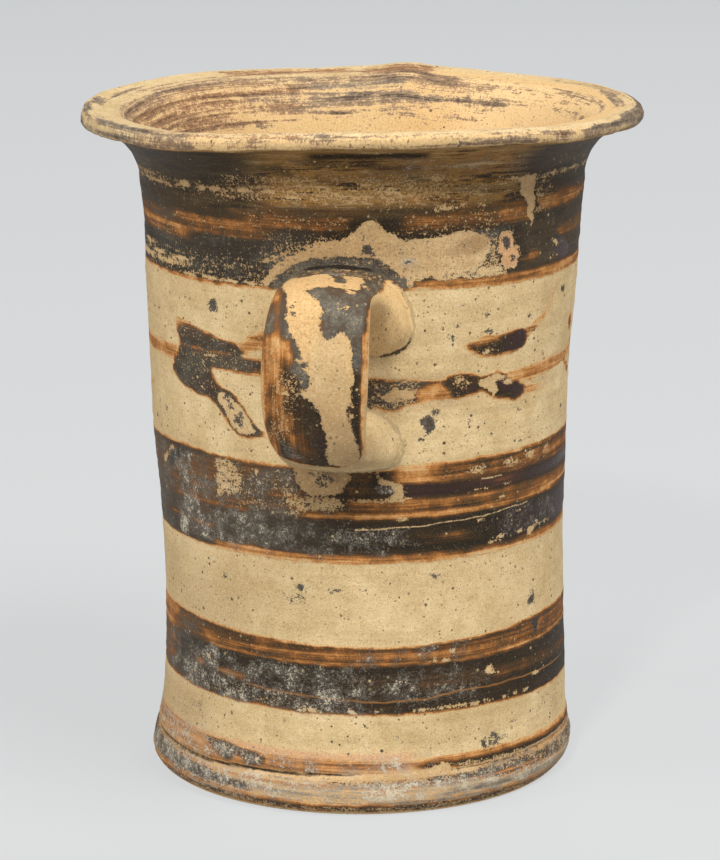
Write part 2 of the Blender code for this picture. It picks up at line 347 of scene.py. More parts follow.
def strap_handle():
    """The strap's grid: points, faces, way along the outer face, place across, and share
    from the inner face (0) to the outer face (1)."""
    rows = smooth_rows(STRAP, STRAP_STEPS)
    along = travelled(rows[:, :2])
    turn = math.tau * np.arange(STRAP_SIDES) / STRAP_SIDES
    power = 2.0 / STRAP_SQUARENESS
    across = np.sign(np.cos(turn)) * np.abs(np.cos(turn)) ** power
    through = np.sign(np.sin(turn)) * np.abs(np.sin(turn)) ** power
    outward = 0.5 + 0.5 * through[None, :]
    reach_out, height_out, reach_in, height_in, *edges = [rows[:, k:k + 1] for k in range(8)]
    left = edges[2] + (edges[0] - edges[2]) * outward
    right = edges[3] + (edges[1] - edges[3]) * outward
    x = left + (right - left) * (0.5 + 0.5 * across[None, :])
    reach = reach_in + (reach_out - reach_in) * outward
    height = height_in + (height_out - height_in) * outward
    way = np.repeat(along[:, None], STRAP_SIDES, axis=1)
    pinch = np.maximum(0.06 * waves(x * 9.0, way, 41, 14, (5.0, 14.0), 6) + 0.08, 0.0)
    thick = np.hypot(reach_out - reach_in, height_out - height_in)
    grown = 1.0 - 2.0 * pinch / thick
    middle_reach, middle_height = (reach_out + reach_in) / 2, (height_out + height_in) / 2
    reach = middle_reach + (reach - middle_reach) * grown
    height = middle_height + (height - middle_height) * grown
    points = np.column_stack([part.ravel() for part in by_hand(x, -reach, height)])
    faces = [face[::-1] for face in grid_faces(len(rows), STRAP_SIDES)]
    last = (len(rows) - 1) * STRAP_SIDES
    faces.append(tuple(range(STRAP_SIDES)))
    faces.append(tuple(range(last + STRAP_SIDES - 1, last - 1, -1)))
    share = np.repeat(outward, len(rows), axis=0)
    return points, faces, way.ravel(), x.ravel(), share.ravel()


# What each point holds: the coat's layers, and the place that the brushed noise is read at
LAYERS = ("paint", "depth", "flake", "loss", "bloom", "spot", "slate", "plum", "ochre",
          "tone", "soil", "worn", "scratch", "hairline", "dirt_and_shade")
BRUSH = ("brush_x", "brush_y", "brush_z")
# On the strap, how many mm of noise lie between its inner and its outer face; on the outer
# part of the lip, how much of each mm of way the noise leaves out
STRAP_BRUSH_DEPTH = 6.0
LIP_BRUSH_SLOWING = 0.5

# Where the outer side's coat ends on the lip, in mm from the crown, and how slowly a band
# fades out at its two ends
LIP_OUTER_WAY = 4.9
END_SLOPE = 0.3


class Coat:
    """Paint, wear and dirt at many points at once. Each layer holds one number a point:
    paint, flake and spot are mm inside an edge, scratch and hairline are mm off a thin
    line, and the rest are shares. Places are (u, v), with v in mm."""

    def __init__(self, u, v, mm_per_u, wander=0.30):
        turns = u * mm_per_u / MM_PER_DEGREE
        self.u = u * mm_per_u + wander * waves(turns, v, 51, 24, (2.0, 6.0), 70)
        self.v = v + 0.10 * waves(turns, v, 52, 24, (2.0, 6.0), 70)
        self.mm_per_u = mm_per_u
        self.layers = {name: np.zeros(len(u)) for name in LAYERS}
        for name in ("paint", "flake", "spot"):
            self.layers[name] -= FAR
        for name in ("scratch", "hairline"):
            self.layers[name] += FAR

    def outline(self, *corners):
        """Mm inside a closed outline."""
        corners = np.array(corners) * (self.mm_per_u, 1.0)
        nearest = np.full(len(self.u), 2 * FAR)
        within = np.zeros(len(self.u), bool)
        for (ax, ay), (bx, by) in zip(corners, np.roll(corners, -1, axis=0)):
            nearest = np.minimum(nearest, self.from_segment(ax, ay, bx, by)[0])
            if ay != by:
                crosses = self.u < (bx - ax) * (self.v - ay) / (by - ay) + ax
                within ^= ((ay > self.v) != (by > self.v)) & crosses
        return np.where(within, nearest, -nearest)

    def from_segment(self, ax, ay, bx, by):
        """The distance from a straight segment, and the share of the way along it."""
        run, rise = bx - ax, by - ay
        share = ((self.u - ax) * run + (self.v - ay) * rise) / (run * run + rise * rise)
        share = np.clip(share, 0.0, 1.0)
        return np.hypot(self.u - ax - run * share, self.v - ay - rise * share), share

    def stroke(self, *points):
        """Mm inside a brush stroke through (u, v, half width) points."""
        inside = np.full(len(self.u), -2 * FAR)
        for (au, av, a_half), (bu, bv, b_half) in zip(points, points[1:]):
            off, share = self.from_segment(au * self.mm_per_u, av, bu * self.mm_per_u, bv)
            inside = np.maximum(inside, a_half + (b_half - a_half) * share - off)
        return inside

    def band(self, top, bottom, left=-999.0, right=999.0):
        """Mm inside a band between two edges, each a height or a table of (u, height)."""
        edges = []
        for edge in (top, bottom):
            level = np.isscalar(edge)
            edges.append(edge if level else follow(edge, self.u / self.mm_per_u))
        inside = np.minimum(edges[0] - self.v, self.v - edges[1])
        ends = np.minimum(self.u - left * self.mm_per_u, right * self.mm_per_u - self.u)
        return np.minimum(inside, END_SLOPE * ends)

    def oval(self, u, v, half_width, half_height, tilt=0.0):
        """Mm inside an oval, in mm each way, tilted in degrees."""
        across, up = self.u - u * self.mm_per_u, self.v - v
        turn = math.radians(tilt)
        first = across * math.cos(turn) + up * math.sin(turn)
        second = up * math.cos(turn) - across * math.sin(turn)
        off = np.hypot(first / half_width, second / half_height)
        return (1.0 - off) * min(half_width, half_height)

    def paint(self, inside, depth, soft=0.35):
        """Lays paint, and sets how thick it is there."""
        self.layers["paint"] = np.maximum(self.layers["paint"], inside)
        self.shade(inside, soft, depth=depth)

    def shade(self, inside, soft, **values):
        """Moves layers to new values inside a shape, with a soft edge."""
        share = smooth_step(inside, -soft, soft)
        for name, value in values.items():
            self.layers[name] += (value - self.layers[name]) * share

    def bands(self, name, *rows):
        """Shades bands in one layer: each row is a band's edges, then value and softness."""
        for *edges, value, soft in rows:
            self.shade(self.band(*edges), soft, **{name: value})

    def ovals(self, name, *rows):
        """Shades ovals in one layer: each row is an oval, then value and softness."""
        for *oval, value, soft in rows:
            self.shade(self.oval(*oval), soft, **{name: value})

    def grow(self, name, *shapes):
        """Adds shapes to a layer of flakes or spots."""
        for inside in shapes:
            self.layers[name] = np.maximum(self.layers[name], inside)

    def dots(self, name, *rows):
        """Adds ovals to a layer of flakes or spots."""
        self.grow(name, *(self.oval(*row) for row in rows))

    def flakes(self, row, half_height, *spans):
        """A row of losses, each from one u to another."""
        for left, right in spans:
            middle, half = (left + right) / 2, (right - left) / 2 * self.mm_per_u
            self.grow("flake", self.oval(middle, row, half, half_height))

    def thin(self, name, table, left, right):
        """A scratch or a hairline along a table of (u, v)."""
        off = self.v - follow(table, self.u / self.mm_per_u)
        ends = np.maximum(left - self.u / self.mm_per_u, self.u / self.mm_per_u - right)
        off = np.where(ends > 0, FAR, off)
        nearer = np.abs(off) < np.abs(self.layers[name])
        self.layers[name] = np.where(nearer, off, self.layers[name])


# The edges of the wide bands, all the way round
NECK_FOOT = [(-180, 92.4), (-120, 92), (-75, 92.6), (-50, 92.5), (-35, 92.3), (-18, 92.5),
             (0, 93), (22, 92.9), (50, 92.5), (88, 92.5), (130, 92.9), (180, 92.4)]
UPPER_TOP = [(-180, 62.9), (-120, 62.4), (-76, 62.3), (-50, 62.8), (-30, 62.3), (-8, 62.1),
             (12, 62.2), (30, 62.7), (50, 62.9), (88, 63), (130, 62.6), (180, 62.9)]
UPPER_BOTTOM = [(-180, 45.5), (-76, 45.2), (-30, 45.2), (0, 45), (40, 45), (88, 45.4),
                (140, 45.1), (180, 45.5)]
LOWER_TOP = [(-180, 31.3), (-110, 31.9), (-62, 31.8), (-45, 31.4), (-25, 30.7), (0, 30.15),
             (20, 30.2), (40, 30.7), (70, 31.7), (88, 31.6), (140, 31), (180, 31.3)]
LOWER_BOTTOM = [(-180, 18.2), (-76, 18.6), (-35, 18.1), (0, 17.9), (40, 17.75), (70, 17.3),
                (88, 17.3), (140, 17.8), (180, 18.2)]
FOOT_BAND_TOP = [(-180, 10.6), (-100, 11.4), (-60, 11.6), (-42, 10.9), (-20, 10.1), (5, 10.2),
                 (20, 9.9), (50, 10), (88, 9.9), (140, 10.3), (180, 10.6)]


def offset(table, by):
    """An edge moved up or down."""
    return [(u, v + by) for u, v in table]


def neck_paint(coat):
    """The dark band under the lip, washed thin over the handle, with a big bare patch."""
    coat.paint(coat.band(120, NECK_FOOT), 0.97)
    coat.bands("depth", (offset(NECK_FOOT, 0.7), NECK_FOOT, 0.44, 0.25),
        (108, 103.8, -90, -10, 0.94, 1))
    coat.bands("loss", (120, 92, -90, 100, 0.13, 2), (105, 93, -72, -10, 0.21, 1.5))
    coat.shade(coat.band(118, 110.4, -90, -14), 2, slate=0.06)
    coat.shade(coat.band(118, 105, -90, -17), 1.5, ochre=0.1)
    coat.shade(coat.outline((-62, 104.5), (-50, 104), (-40, 100.6), (-16, 102.4), (-4, 103), (0, 100),
        (-18, 94), (-60, 93)), 1.6, slate=0.26)
    # Orange brush lines on the left
    coat.bands("depth", (104, 99.4, -92, -42, 0.6, 1.2), (104.4, 101, -46, -16, 0.6, 1))
    for top, bottom, left, right, depth in ((101.9, 100.8, -92, -44, 0.34),
            (100.6, 99.8, -64, -44, 0.42), (103.9, 103.1, -48, -20, 0.34), (103, 102.5, -45, -22, 0.46),
            (101.9, 101.3, -45, -21, 0.46), (105.9, 105.2, -27, 1, 0.56)):
        line = coat.band(top, bottom, left, right)
        coat.shade(line, 0.55, depth=depth, slate=0)
        coat.shade(line, 0.4, loss=0.3)
    # Rows of losses on the left
    coat.flakes(96.8, 0.46, (-72, -62))
    coat.flakes(95.7, 0.44, (-63, -53), (-52, -42))
    coat.flakes(94.6, 0.5, (-84, -60), (-61, -45))
    coat.flakes(93.4, 0.42, (-44.5, -39), (-36.5, -31.5), (-30.5, -25), (-24, -18.5))
    coat.bands("loss", (97.4, 93, -90, -17, 0.33, 0.6), (110, 107.8, -90, -12, 0.34, 0.5))
    coat.flakes(109.5, 0.42, (-84, -66), (-67, -54))
    coat.flakes(108.4, 0.34, (-80, -66), (-64, -47))
    coat.flakes(109.2, 0.62, (-44.5, -39.5))
    coat.flakes(109, 0.5, (-37, -34), (-33, -29), (-26, -19), (-18, -13))
    # Painted shade under the lip: the clay in these losses is darkened
    coat.shade(coat.band(110.6, 107.2, -90, -12), 0.5, soil=0.75)
    coat.grow("flake", coat.stroke((-17.5, 93, 0.22), (-12.5, 96.4, 0.26), (-5, 98.8, 0.2)),
        coat.stroke((-23, 95.8, 0.2), (-13, 99, 0.28), (-6, 100.6, 0.3), (0, 101.5, 0.2)))
    # The thin wash over the handle and to its right
    wash = coat.band(117, 106.2, -17, 48)
    coat.shade(wash, 1.2, depth=0.52, slate=0, loss=0.2)
    coat.shade(wash, 1.6, ochre=1)
    coat.shade(coat.band(110.4, 107, -11, 48), 0.8, ochre=1.15)
    coat.shade(coat.band(110.3, 106.8, -20, 60), 0.8, tone=0.35)
    coat.bands("loss", (110.2, 107, -14, 48, 0.34, 0.6), (111.4, 107, -30, 30, 0.42, 0.8))
    coat.shade(coat.band(114.2, 110.8, 8, 60), 1, plum=0.22)
    coat.shade(coat.band(113.4, 111.6, 18, 36), 0.8, bloom=0.34)
    coat.shade(coat.band(115.2, 114, -4, 22), 0.4, depth=1, ochre=0)
    for points in (((-16.5, 112.9, 0.4), (-12.5, 112.4, 0.9), (-9, 111.4, 0.3)),
            ((-9, 113.8, 0.2), (-4, 113.6, 0.6), (3, 113.2, 0.3)),
            ((5, 113.2, 0.2), (10, 112.9, 0.6), (21, 112.3, 0.3)),
            ((-3, 110.6, 0.15), (2, 110.2, 0.35), (6, 110, 0.15)),
            ((17.5, 111.2, 0.15), (20, 110.9, 0.4), (23, 110.5, 0.15)),
            ((30, 109, 0.1), (40, 108.6, 0.32), (51, 108.9, 0.25)),
            ((26, 105.6, 0.2), (36, 105.7, 0.4), (50, 106.1, 0.3))):
        dark = coat.stroke(*points)
        coat.shade(dark, 0.45, depth=0.92, ochre=0.3)
        coat.shade(dark, 0.35, loss=0.24)
    coat.shade(coat.band(106.6, 105.5, -20, 52), 0.4, depth=0.74, ochre=0.1)
    coat.flakes(107.1, 0.34, (-16, -8), (16, 28))
    coat.grow("flake", coat.stroke((24, 106, 0.1), (34, 106.7, 0.45), (44, 107.1, 0.5),
        (53, 107.4, 0.4)))
    # Painted shade under the lip over the losses beside the wash
    coat.shade(coat.band(107.9, 106.4, 14, 56), 0.4, soil=0.5)
    for top, bottom, left, right, depth in ((105.4, 103, -22, 4, 0.6), (104.5, 103.3, -22, -7, 0.42),
            (105.5, 102.8, 17, 54, 0.6), (105.2, 104, 20, 52, 0.42)):
        line = coat.band(top, bottom, left, right)
        coat.shade(line, 0.45, depth=depth, ochre=0)
        coat.shade(line, 0.4, loss=0.3)
    neck_right(coat)
    handle_top_patch(coat)


def neck_right(coat):
    """The right side under the lip: the black strips, the T-shaped loss and orange lines."""
    coat.shade(coat.band(118, 110.2, 46, 150), 0.8, depth=0.9, slate=0.04)
    coat.shade(coat.band(118, 94.5, 52, 140), 0.8, ochre=0.1)
    coat.shade(coat.band(109.9, 106.8, 55, 160), 0.5, depth=0.95)
    coat.bands("loss", (104, 94.5, 48, 92, 0.18, 1), (109.8, 104, 54, 63, 0.38, 0.5))
    coat.shade(coat.band(104, 94.5, 46, 72), 1.5, slate=0.14)
    coat.shade(coat.outline((56.5, 106.2), (62, 106.9), (70, 106.8), (80, 106.5), (94, 106.2),
        (94, 105), (82, 104.8), (72, 104.4), (60, 104.3), (57, 104.9)), 0.6, depth=0.36)
    coat.shade(coat.outline((65, 100.6), (76, 101.2), (94, 101.4), (94, 99), (78, 98.8), (69, 99.1)),
        0.6, depth=0.5)
    coat.shade(coat.outline((52.5, 96.2), (55, 97.8), (59, 97.6), (59.5, 96.4), (56, 95.8)), 0.6,
        depth=0.5)
    coat.flakes(110, 0.34, (46, 56), (55, 64), (65, 69), (71, 77), (80, 86))
    coat.grow("flake", coat.outline((48.6, 110), (53.6, 110.4), (55.6, 109.6), (54.6, 108),
        (55.8, 106.4), (55.2, 105), (55.6, 103.2), (55, 101.9), (53.8, 102), (53.4, 103.8),
        (52.6, 105.8), (50.8, 107)))
    # Painted shade under the lip over the T-shaped loss
    coat.shade(coat.band(110.6, 101, 44, 66), 0.8, soil=0.55)
    coat.dots("flake", (66.3, 98.1, 1.1, 0.45, -30), (66.3, 95.5, 0.8, 0.35))
    blister = coat.outline((65.5, 97.4), (67.5, 98.6), (70.5, 98.9), (73, 98), (75.6, 96.2),
        (74.6, 94.9), (70.5, 94.7), (68, 95.4), (66.4, 96.2))
    coat.shade(blister, 0.4, plum=1.15, depth=1, loss=0)
    # Painted highlight along the top of the glossy blister
    coat.shade(coat.stroke((67, 97.4, 0.1), (70, 98, 0.25), (73, 97.2, 0.1)), 0.3, bloom=0.7)
    coat.shade(coat.band(94.5, NECK_FOOT, 21, 128), 0.35, depth=0.34)
    coat.shade(coat.band(94.6, NECK_FOOT, 21, 128), 0.4, slate=0, loss=0.05)


def handle_top_patch(coat):
    """The bare patch over the handle, the painted arc round its root and the pink end."""
    patch = coat.outline((-19.5, 93.3), (-17.5, 95), (-15.5, 96.8), (-12, 98.3), (-8.5, 99.4),
        (-4, 100.8), (1.5, 101.6), (4.5, 102.9), (7.2, 104.4), (9.3, 105.2), (11.4, 104.2),
        (14.6, 102.9), (16.6, 101.4), (19.5, 101.5), (24, 101.9), (32.5, 102.6), (38.5, 101.9),
        (41.3, 101), (41.2, 99), (39.3, 97.8), (39.8, 96.2), (36, 95.6), (28, 95.1), (22.5, 94.9),
        (20, 93.6), (19.2, 92.6), (18, 95), (14, 97.2), (9, 98.7), (2, 98.7), (-5, 98.3), (-9.5, 97.4),
        (-13.2, 95.9), (-15.5, 94.2), (-18, 93))
    coat.grow("flake", patch)
    coat.grow("spot", np.minimum(patch, 0) - 0.25)
    coat.bands("tone", (104, 95, -20, 19, 0.4, 2), (103, 95.2, 19, 41, -0.26, 1.5))
    # Painted shade under the lip: the patch's clay is darkened, most near its right end
    coat.shade(coat.band(105, 94, -20, 24), 1.5, soil=0.48)
    coat.shade(coat.outline((29, 98.5), (36, 98), (40.5, 99.5), (41, 102), (37, 102.2), (31, 100.6)),
        0.8, soil=0.85)
    coat.shade(coat.band(98.8, 92, -17, 19), 0.5, depth=0.95)
    coat.shade(coat.band(98.8, 92, -17, 22), 0.5, slate=0.8)
    coat.bands("loss", (98.9, 92, -17, 21, 0.3, 0.5), (102.4, 98.6, -18, 6, 0.34, 0.7))
    # The pink end, with two dark marks
    end = coat.outline((43.4, 101), (44.6, 101.7), (46.6, 101.8), (48.2, 101.1), (48.9, 99.6),
        (50.3, 98.3), (51.5, 97.4), (51.2, 96), (49.6, 95.3), (47, 95.2), (45.4, 96.2), (44.6, 98),
        (43.2, 99))
    coat.grow("flake", end)
    coat.shade(end, 0.5, tone=-0.8)
    coat.dots("spot", (45.9, 99.9, 1.35, 0.95, -40), (48.3, 96.9, 0.95, 0.65, -20),
        (8.6, 100.1, 1, 0.75, 0), (9.6, 99.3, 0.6, 0.4, 0))
    coat.shade(coat.band(102.2, 97.6, 38, 44.5), 0.8, slate=1.1)
    coat.shade(coat.band(101.6, 95.2, 38, 44.5), 0.4, loss=0.46)
    coat.shade(coat.band(96.2, 94.3, 25, 47), 0.4, loss=0.6, slate=0.4)
    coat.shade(coat.band(103, 101.4, 15, 42), 0.5, loss=0.36)
    coat.grow("spot", coat.stroke((10.2, 99.2, 0.15), (10.9, 98, 0.25)), coat.stroke((17.6, 97.7, 0.12),
        (20.2, 98, 0.2)))
    coat.shade(coat.stroke((17.4, 97.7, 0.5), (20.4, 98, 0.6)), 0.4, bloom=0.65)


def left_motif(coat):
    """Left of the handle: a thin band, a boot-shaped blob and a slanting stroke."""
    coat.paint(coat.band([(-95, 79.8), (-50, 79.9)], [(-95, 77.5), (-50, 77.2)], -180, -49), 0.28, 0.5)
    boot = coat.outline((-50.3, 84.6), (-48.5, 85.1), (-44, 84.8), (-40, 84.2), (-35, 83.5), (-30, 83),
        (-26.3, 82.7), (-24.3, 81.7), (-24.4, 80.3), (-17.5, 80.4), (-16.5, 77.3), (-22, 77.2),
        (-29, 77.4), (-34.6, 77.4), (-35, 76.4), (-32, 75), (-29, 74), (-26.2, 73.2), (-24, 71.2),
        (-22, 69.3), (-20.2, 68), (-18.2, 67.6), (-18.4, 66.6), (-20.6, 66.2), (-24, 65.9), (-27, 66.4),
        (-29.4, 67.8), (-31.4, 69.5), (-33.8, 71), (-37, 72), (-42, 72.4), (-47, 73.2), (-51, 74.5),
        (-52.6, 76), (-52.3, 77.3), (-50, 78.4), (-48.6, 80.2), (-49.6, 82.4))
    coat.paint(boot, 0.86, 0.3)
    coat.shade(boot, 0.6, slate=0.42)
    coat.shade(boot, 0.5, loss=0.28)
    coat.shade(coat.band(86, 83.4, -51, -24), 0.4, depth=0.55)
    coat.shade(coat.outline((-52, 85.8), (-52, 81.4), (-49.6, 82.4), (-48, 83.6), (-44, 84.6),
        (-44, 85.6)), 0.3, depth=0.22)
    coat.shade(coat.stroke((-48, 80.2, 0.2), (-38, 80.1, 0.3), (-28, 80.3, 0.2)), 0.3, depth=0.4)
    coat.grow("flake", coat.stroke((-38, 79.7, 0.2), (-31, 79.9, 0.3)))
    smear = coat.outline((-26, 82.6), (-23, 83.9), (-20, 85), (-16, 85.9), (-16, 82.4), (-20, 81.8),
        (-24.2, 80.8))
    coat.paint(smear, 0.3, 0.3)
    coat.shade(smear, 0.3, loss=0.3)
    coat.flakes(80.55, 0.28, (-24.5, -20.5))
    coat.shade(coat.band(78.2, 77, -30, -16), 0.3, depth=0.42)
    hollow = coat.outline((-32.2, 73.7), (-29.5, 73.1), (-26.4, 72.3), (-24.4, 70.8), (-22.4, 68.8),
        (-21.3, 67.6), (-22, 66.8), (-25, 66.5), (-27.6, 67.2), (-29.8, 69), (-31.2, 70.8), (-33.5, 72))
    coat.grow("flake", hollow)
    for u, v, size in ((-26.2, 69.2, 0.7), (-25.9, 68, 0.5), (-28.4, 71.2, 0.5), (-26, 70.4, 0.35),
            (-29.6, 71.8, 0.35), (-27.6, 68.6, 0.3), (-25.4, 70, 0.5), (-29.6, 73, 0.4),
            (-30.6, 72.6, 0.3)):
        coat.grow("spot", coat.oval(u, v, size, size * 1.2))
    coat.shade(coat.oval(-18.9, 67.1, 0.8, 0.8), 0.3, depth=0.25)
    coat.thin("scratch", [(-39.5, 78.7), (-35.5, 76.8)], -39.5, -35.8)
    coat.dots("flake", (-38.4, 73.8, 0.45, 0.35), (-40.4, 75.3, 0.3, 0.2))
    coat.shade(coat.oval(-38.8, 74.5, 2.4, 1.3), 0.6, plum=0.4)
    coat.dots("spot", (-33.9, 88.7, 1.35, 1.15), (-45.4, 87.6, 0.5, 0.35), (-57.5, 67.6, 0.55, 0.45),
        (-45, 89.1, 0.3, 0.25), (-36.5, 91, 0.3, 0.25), (-26.5, 89, 0.35, 0.25),
        (-60.5, 85.4, 0.5, 0.3), (-66, 65.4, 0.7, 0.3))
    coat.paint(coat.stroke((-73, 70.6, 0.5), (-69.5, 71.2, 0.6)), 0.5)
    coat.paint(coat.stroke((-76, 84.9, 0.4), (-71, 85.9, 0.6)), 0.25)


def right_motif(coat):
    """Right of the handle: a band of blobs, an orange tail, and a comet-shaped stroke."""
    first = coat.outline((8, 78.3), (14, 77.8), (20, 77.6), (25, 77.3), (28.6, 77), (30.5, 77.7),
        (34, 78.2), (37.5, 77.8), (40.3, 77), (43, 77.1), (46.2, 77.4), (49.5, 76.6), (53.5, 75.2),
        (56.6, 73.8), (57.2, 72.8), (55.6, 71.7), (52, 71.5), (48.8, 72.1), (45.2, 72.6), (42.5, 73.6),
        (40.2, 74.2), (37, 73.6), (33, 73.4), (28, 73.6), (24, 73.3), (20, 72.9), (17.5, 71.9),
        (14, 71.7), (8, 72))
    coat.paint(first, 0.88, 0.3)
    coat.shade(coat.band(79, 71, 7, 29), 1, slate=0.45)
    thin_part = coat.outline((21, 75), (25, 76.3), (29.5, 76.7), (31.5, 74.6), (33, 73.2), (26, 73),
        (23.5, 73.4))
    coat.shade(thin_part, 0.6, depth=0.22)
    coat.shade(thin_part, 0.5, slate=0)
    coat.shade(coat.band(78, 72, 8, 36), 1, soil=0.5)
    coat.shade(coat.band(72.6, 71, 8, 20), 0.4, depth=0.45)
    coat.grow("flake", coat.outline((12.4, 74.3), (14.4, 75.4), (16.2, 76.2), (18.6, 75.9),
        (20.5, 75.2), (22.6, 74.3), (19.8, 73.9), (17.5, 74.3), (15.6, 73.5)),
        coat.stroke((33.2, 76.8, 0.25), (35.6, 76.5, 0.35), (38.8, 75.6, 0.2)))
    coat.bands("loss", (78.5, 71.5, 8, 15, 0.46, 1), (78.5, 71.5, 15, 24, 0.46, 0.8),
        (78.5, 71.5, 31, 37, 0.34, 0.6), (84.5, 79.5, 34, 46, 0.3, 0.8))
    coat.grow("flake", coat.oval(33.7, 76.4, 0.5, 0.4))
    coat.shade(coat.oval(37, 75.2, 1.6, 1), 0.5, plum=0.6)
    coat.grow("flake", coat.outline((40.4, 76.4), (43, 76.7), (45.8, 77.1), (48.4, 76.2), (51.5, 75.2),
        (50, 74.6), (46.2, 76), (45.4, 74.9), (46.4, 73.6), (45.2, 73), (42.6, 74.3), (40.6, 75)))
    for u, v, wide, high in ((48.2, 75, 1.9, 1.2), (54, 73.3, 2, 1.15)):
        coat.shade(coat.oval(u, v, wide, high, -22), 0.3, plum=1, depth=0.92)
    coat.paint(coat.stroke((44.8, 78.9, 0.05), (46.2, 77.4, 0.45)), 0.22, 0.2)
    tail_top = [(48, 76.7), (56, 77.2), (62, 77.4), (72, 77.9), (88, 78.1)]
    tail_bottom = [(48, 75), (56, 74.7), (62, 74.7), (72, 75.2), (88, 75.8)]
    coat.paint(coat.band(tail_top, tail_bottom, 49, 95), 0.24, 0.2)
    coat.shade(coat.band(76.4, 74.7, 58, 66), 0.6, depth=0.27)
    coat.paint(coat.stroke((57, 72.8, 0.9), (63.6, 72.9, 0.75)), 0.2, 0.25)
    comet = coat.outline((34.4, 82.5), (36.2, 83.2), (39.5, 84), (43, 83.9), (46, 83.6), (50, 84.3),
        (54, 84.3), (56.8, 83.5), (57.4, 82.4), (56, 81.4), (53, 80.3), (49.5, 80), (45, 79.9),
        (41.5, 80), (38, 80.8))
    coat.paint(comet, 0.84, 0.3)
    coat.shade(np.minimum(0.35 - comet, comet + 0.4), 0.25, depth=0.24)
    coat.shade(coat.outline((34, 83.5), (34, 82.6), (39, 82.7), (45, 82.8), (46, 84), (40, 84.5)), 0.3,
        depth=0.24)
    coat.shade(coat.oval(41, 81.6, 3, 1), 0.5, loss=0.28)
    coat.flakes(81.4, 0.5, (40.5, 43.5))
    coat.flakes(81.3, 0.3, (38, 40), (43.5, 45))
    coat.shade(coat.oval(52, 82.2, 3.2, 1.8, 8), 0.3, plum=0.9, depth=0.96)
    coat.paint(coat.stroke((56.5, 83.4, 0.9), (60, 84.4, 0.75), (64, 86, 0.62), (67.2, 88.3, 0.52),
        (69.5, 91, 0.45)), 0.2, 0.25)
    coat.dots("spot", (25.5, 69.3, 1.2, 1.75), (41.2, 87.6, 0.75, 0.5), (42, 84.6, 0.9, 0.5),
        (56.3, 86.2, 0.5, 0.4), (73.5, 89, 0.9, 0.7), (55.4, 78.4, 0.4, 0.35), (59, 83.6, 0.55, 0.35),
        (64.2, 40.6, 0.4, 0.35), (54.4, 69.6, 0.4, 0.3), (37.4, 69, 0.35, 0.5), (42.3, 68.7, 0.5, 0.3),
        (36.9, 66.2, 0.5, 0.3), (79.2, 67.3, 0.7, 0.6), (55.3, 64.1, 0.4, 0.35), (34, 89.8, 0.35, 0.3),
        (37, 90.7, 0.4, 0.25), (38, 88, 0.35, 0.3), (32.5, 86.3, 0.4, 0.35), (28, 86.4, 0.35, 0.3),
        (24, 83.3, 0.4, 0.3), (59, 89.5, 0.35, 0.3), (69.5, 85.2, 0.4, 0.3), (61, 81, 0.35, 0.3),
        (63.5, 78.7, 0.35, 0.3), (81.3, 76.7, 0.35, 0.3), (29.6, 69, 0.4, 0.35),
        (44.3, 66.4, 0.35, 0.3), (53, 70.2, 0.35, 0.3), (59.4, 64.2, 0.4, 0.3), (23.7, 65, 0.4, 0.35),
        (27.5, 71.4, 0.6, 0.5), (24, 66.9, 0.6, 0.5), (45.6, 89.4, 0.5, 0.3), (31, 84.2, 0.6, 0.5))
    coat.paint(coat.oval(83.8, 82, 1.6, 1.6), 0.55, 0.8)
    coat.paint(coat.stroke((80.6, 75.4, 0.6), (84, 74, 0.9), (88, 72.9, 0.7)), 0.5, 0.6)


def back_motifs(coat):
    """Away from the photograph: the thin band runs on round the back, with plainer blobs."""
    coat.paint(coat.band(79, 77, 84, 180), 0.24, 0.3)
    coat.paint(coat.band(79, 77.2, -180, -84), 0.25, 0.3)
    for u, v, wide, high, tilt in ((104, 77.6, 3.4, 1.5, 4), (131, 78.3, 4.2, 1.7, -5),
            (160, 77.8, 3.1, 1.4, 3), (-163, 78.4, 4, 1.6, 6), (-134, 77.9, 3.3, 1.5, -4),
            (-106, 78.2, 4, 1.7, 5)):
        coat.paint(coat.oval(u, v, wide, high, tilt), 0.86, 0.5)
        coat.shade(coat.oval(u, v, wide * 0.7, high * 0.7, tilt), 0.4, plum=0.7)
    for u, v in ((116, 83.6), (146, 84.2), (-150, 83.4), (-118, 84)):
        coat.paint(coat.stroke((u - 5, v, 0.8), (u, v + 0.5, 1.3), (u + 6, v + 2.4, 0.3)), 0.7)


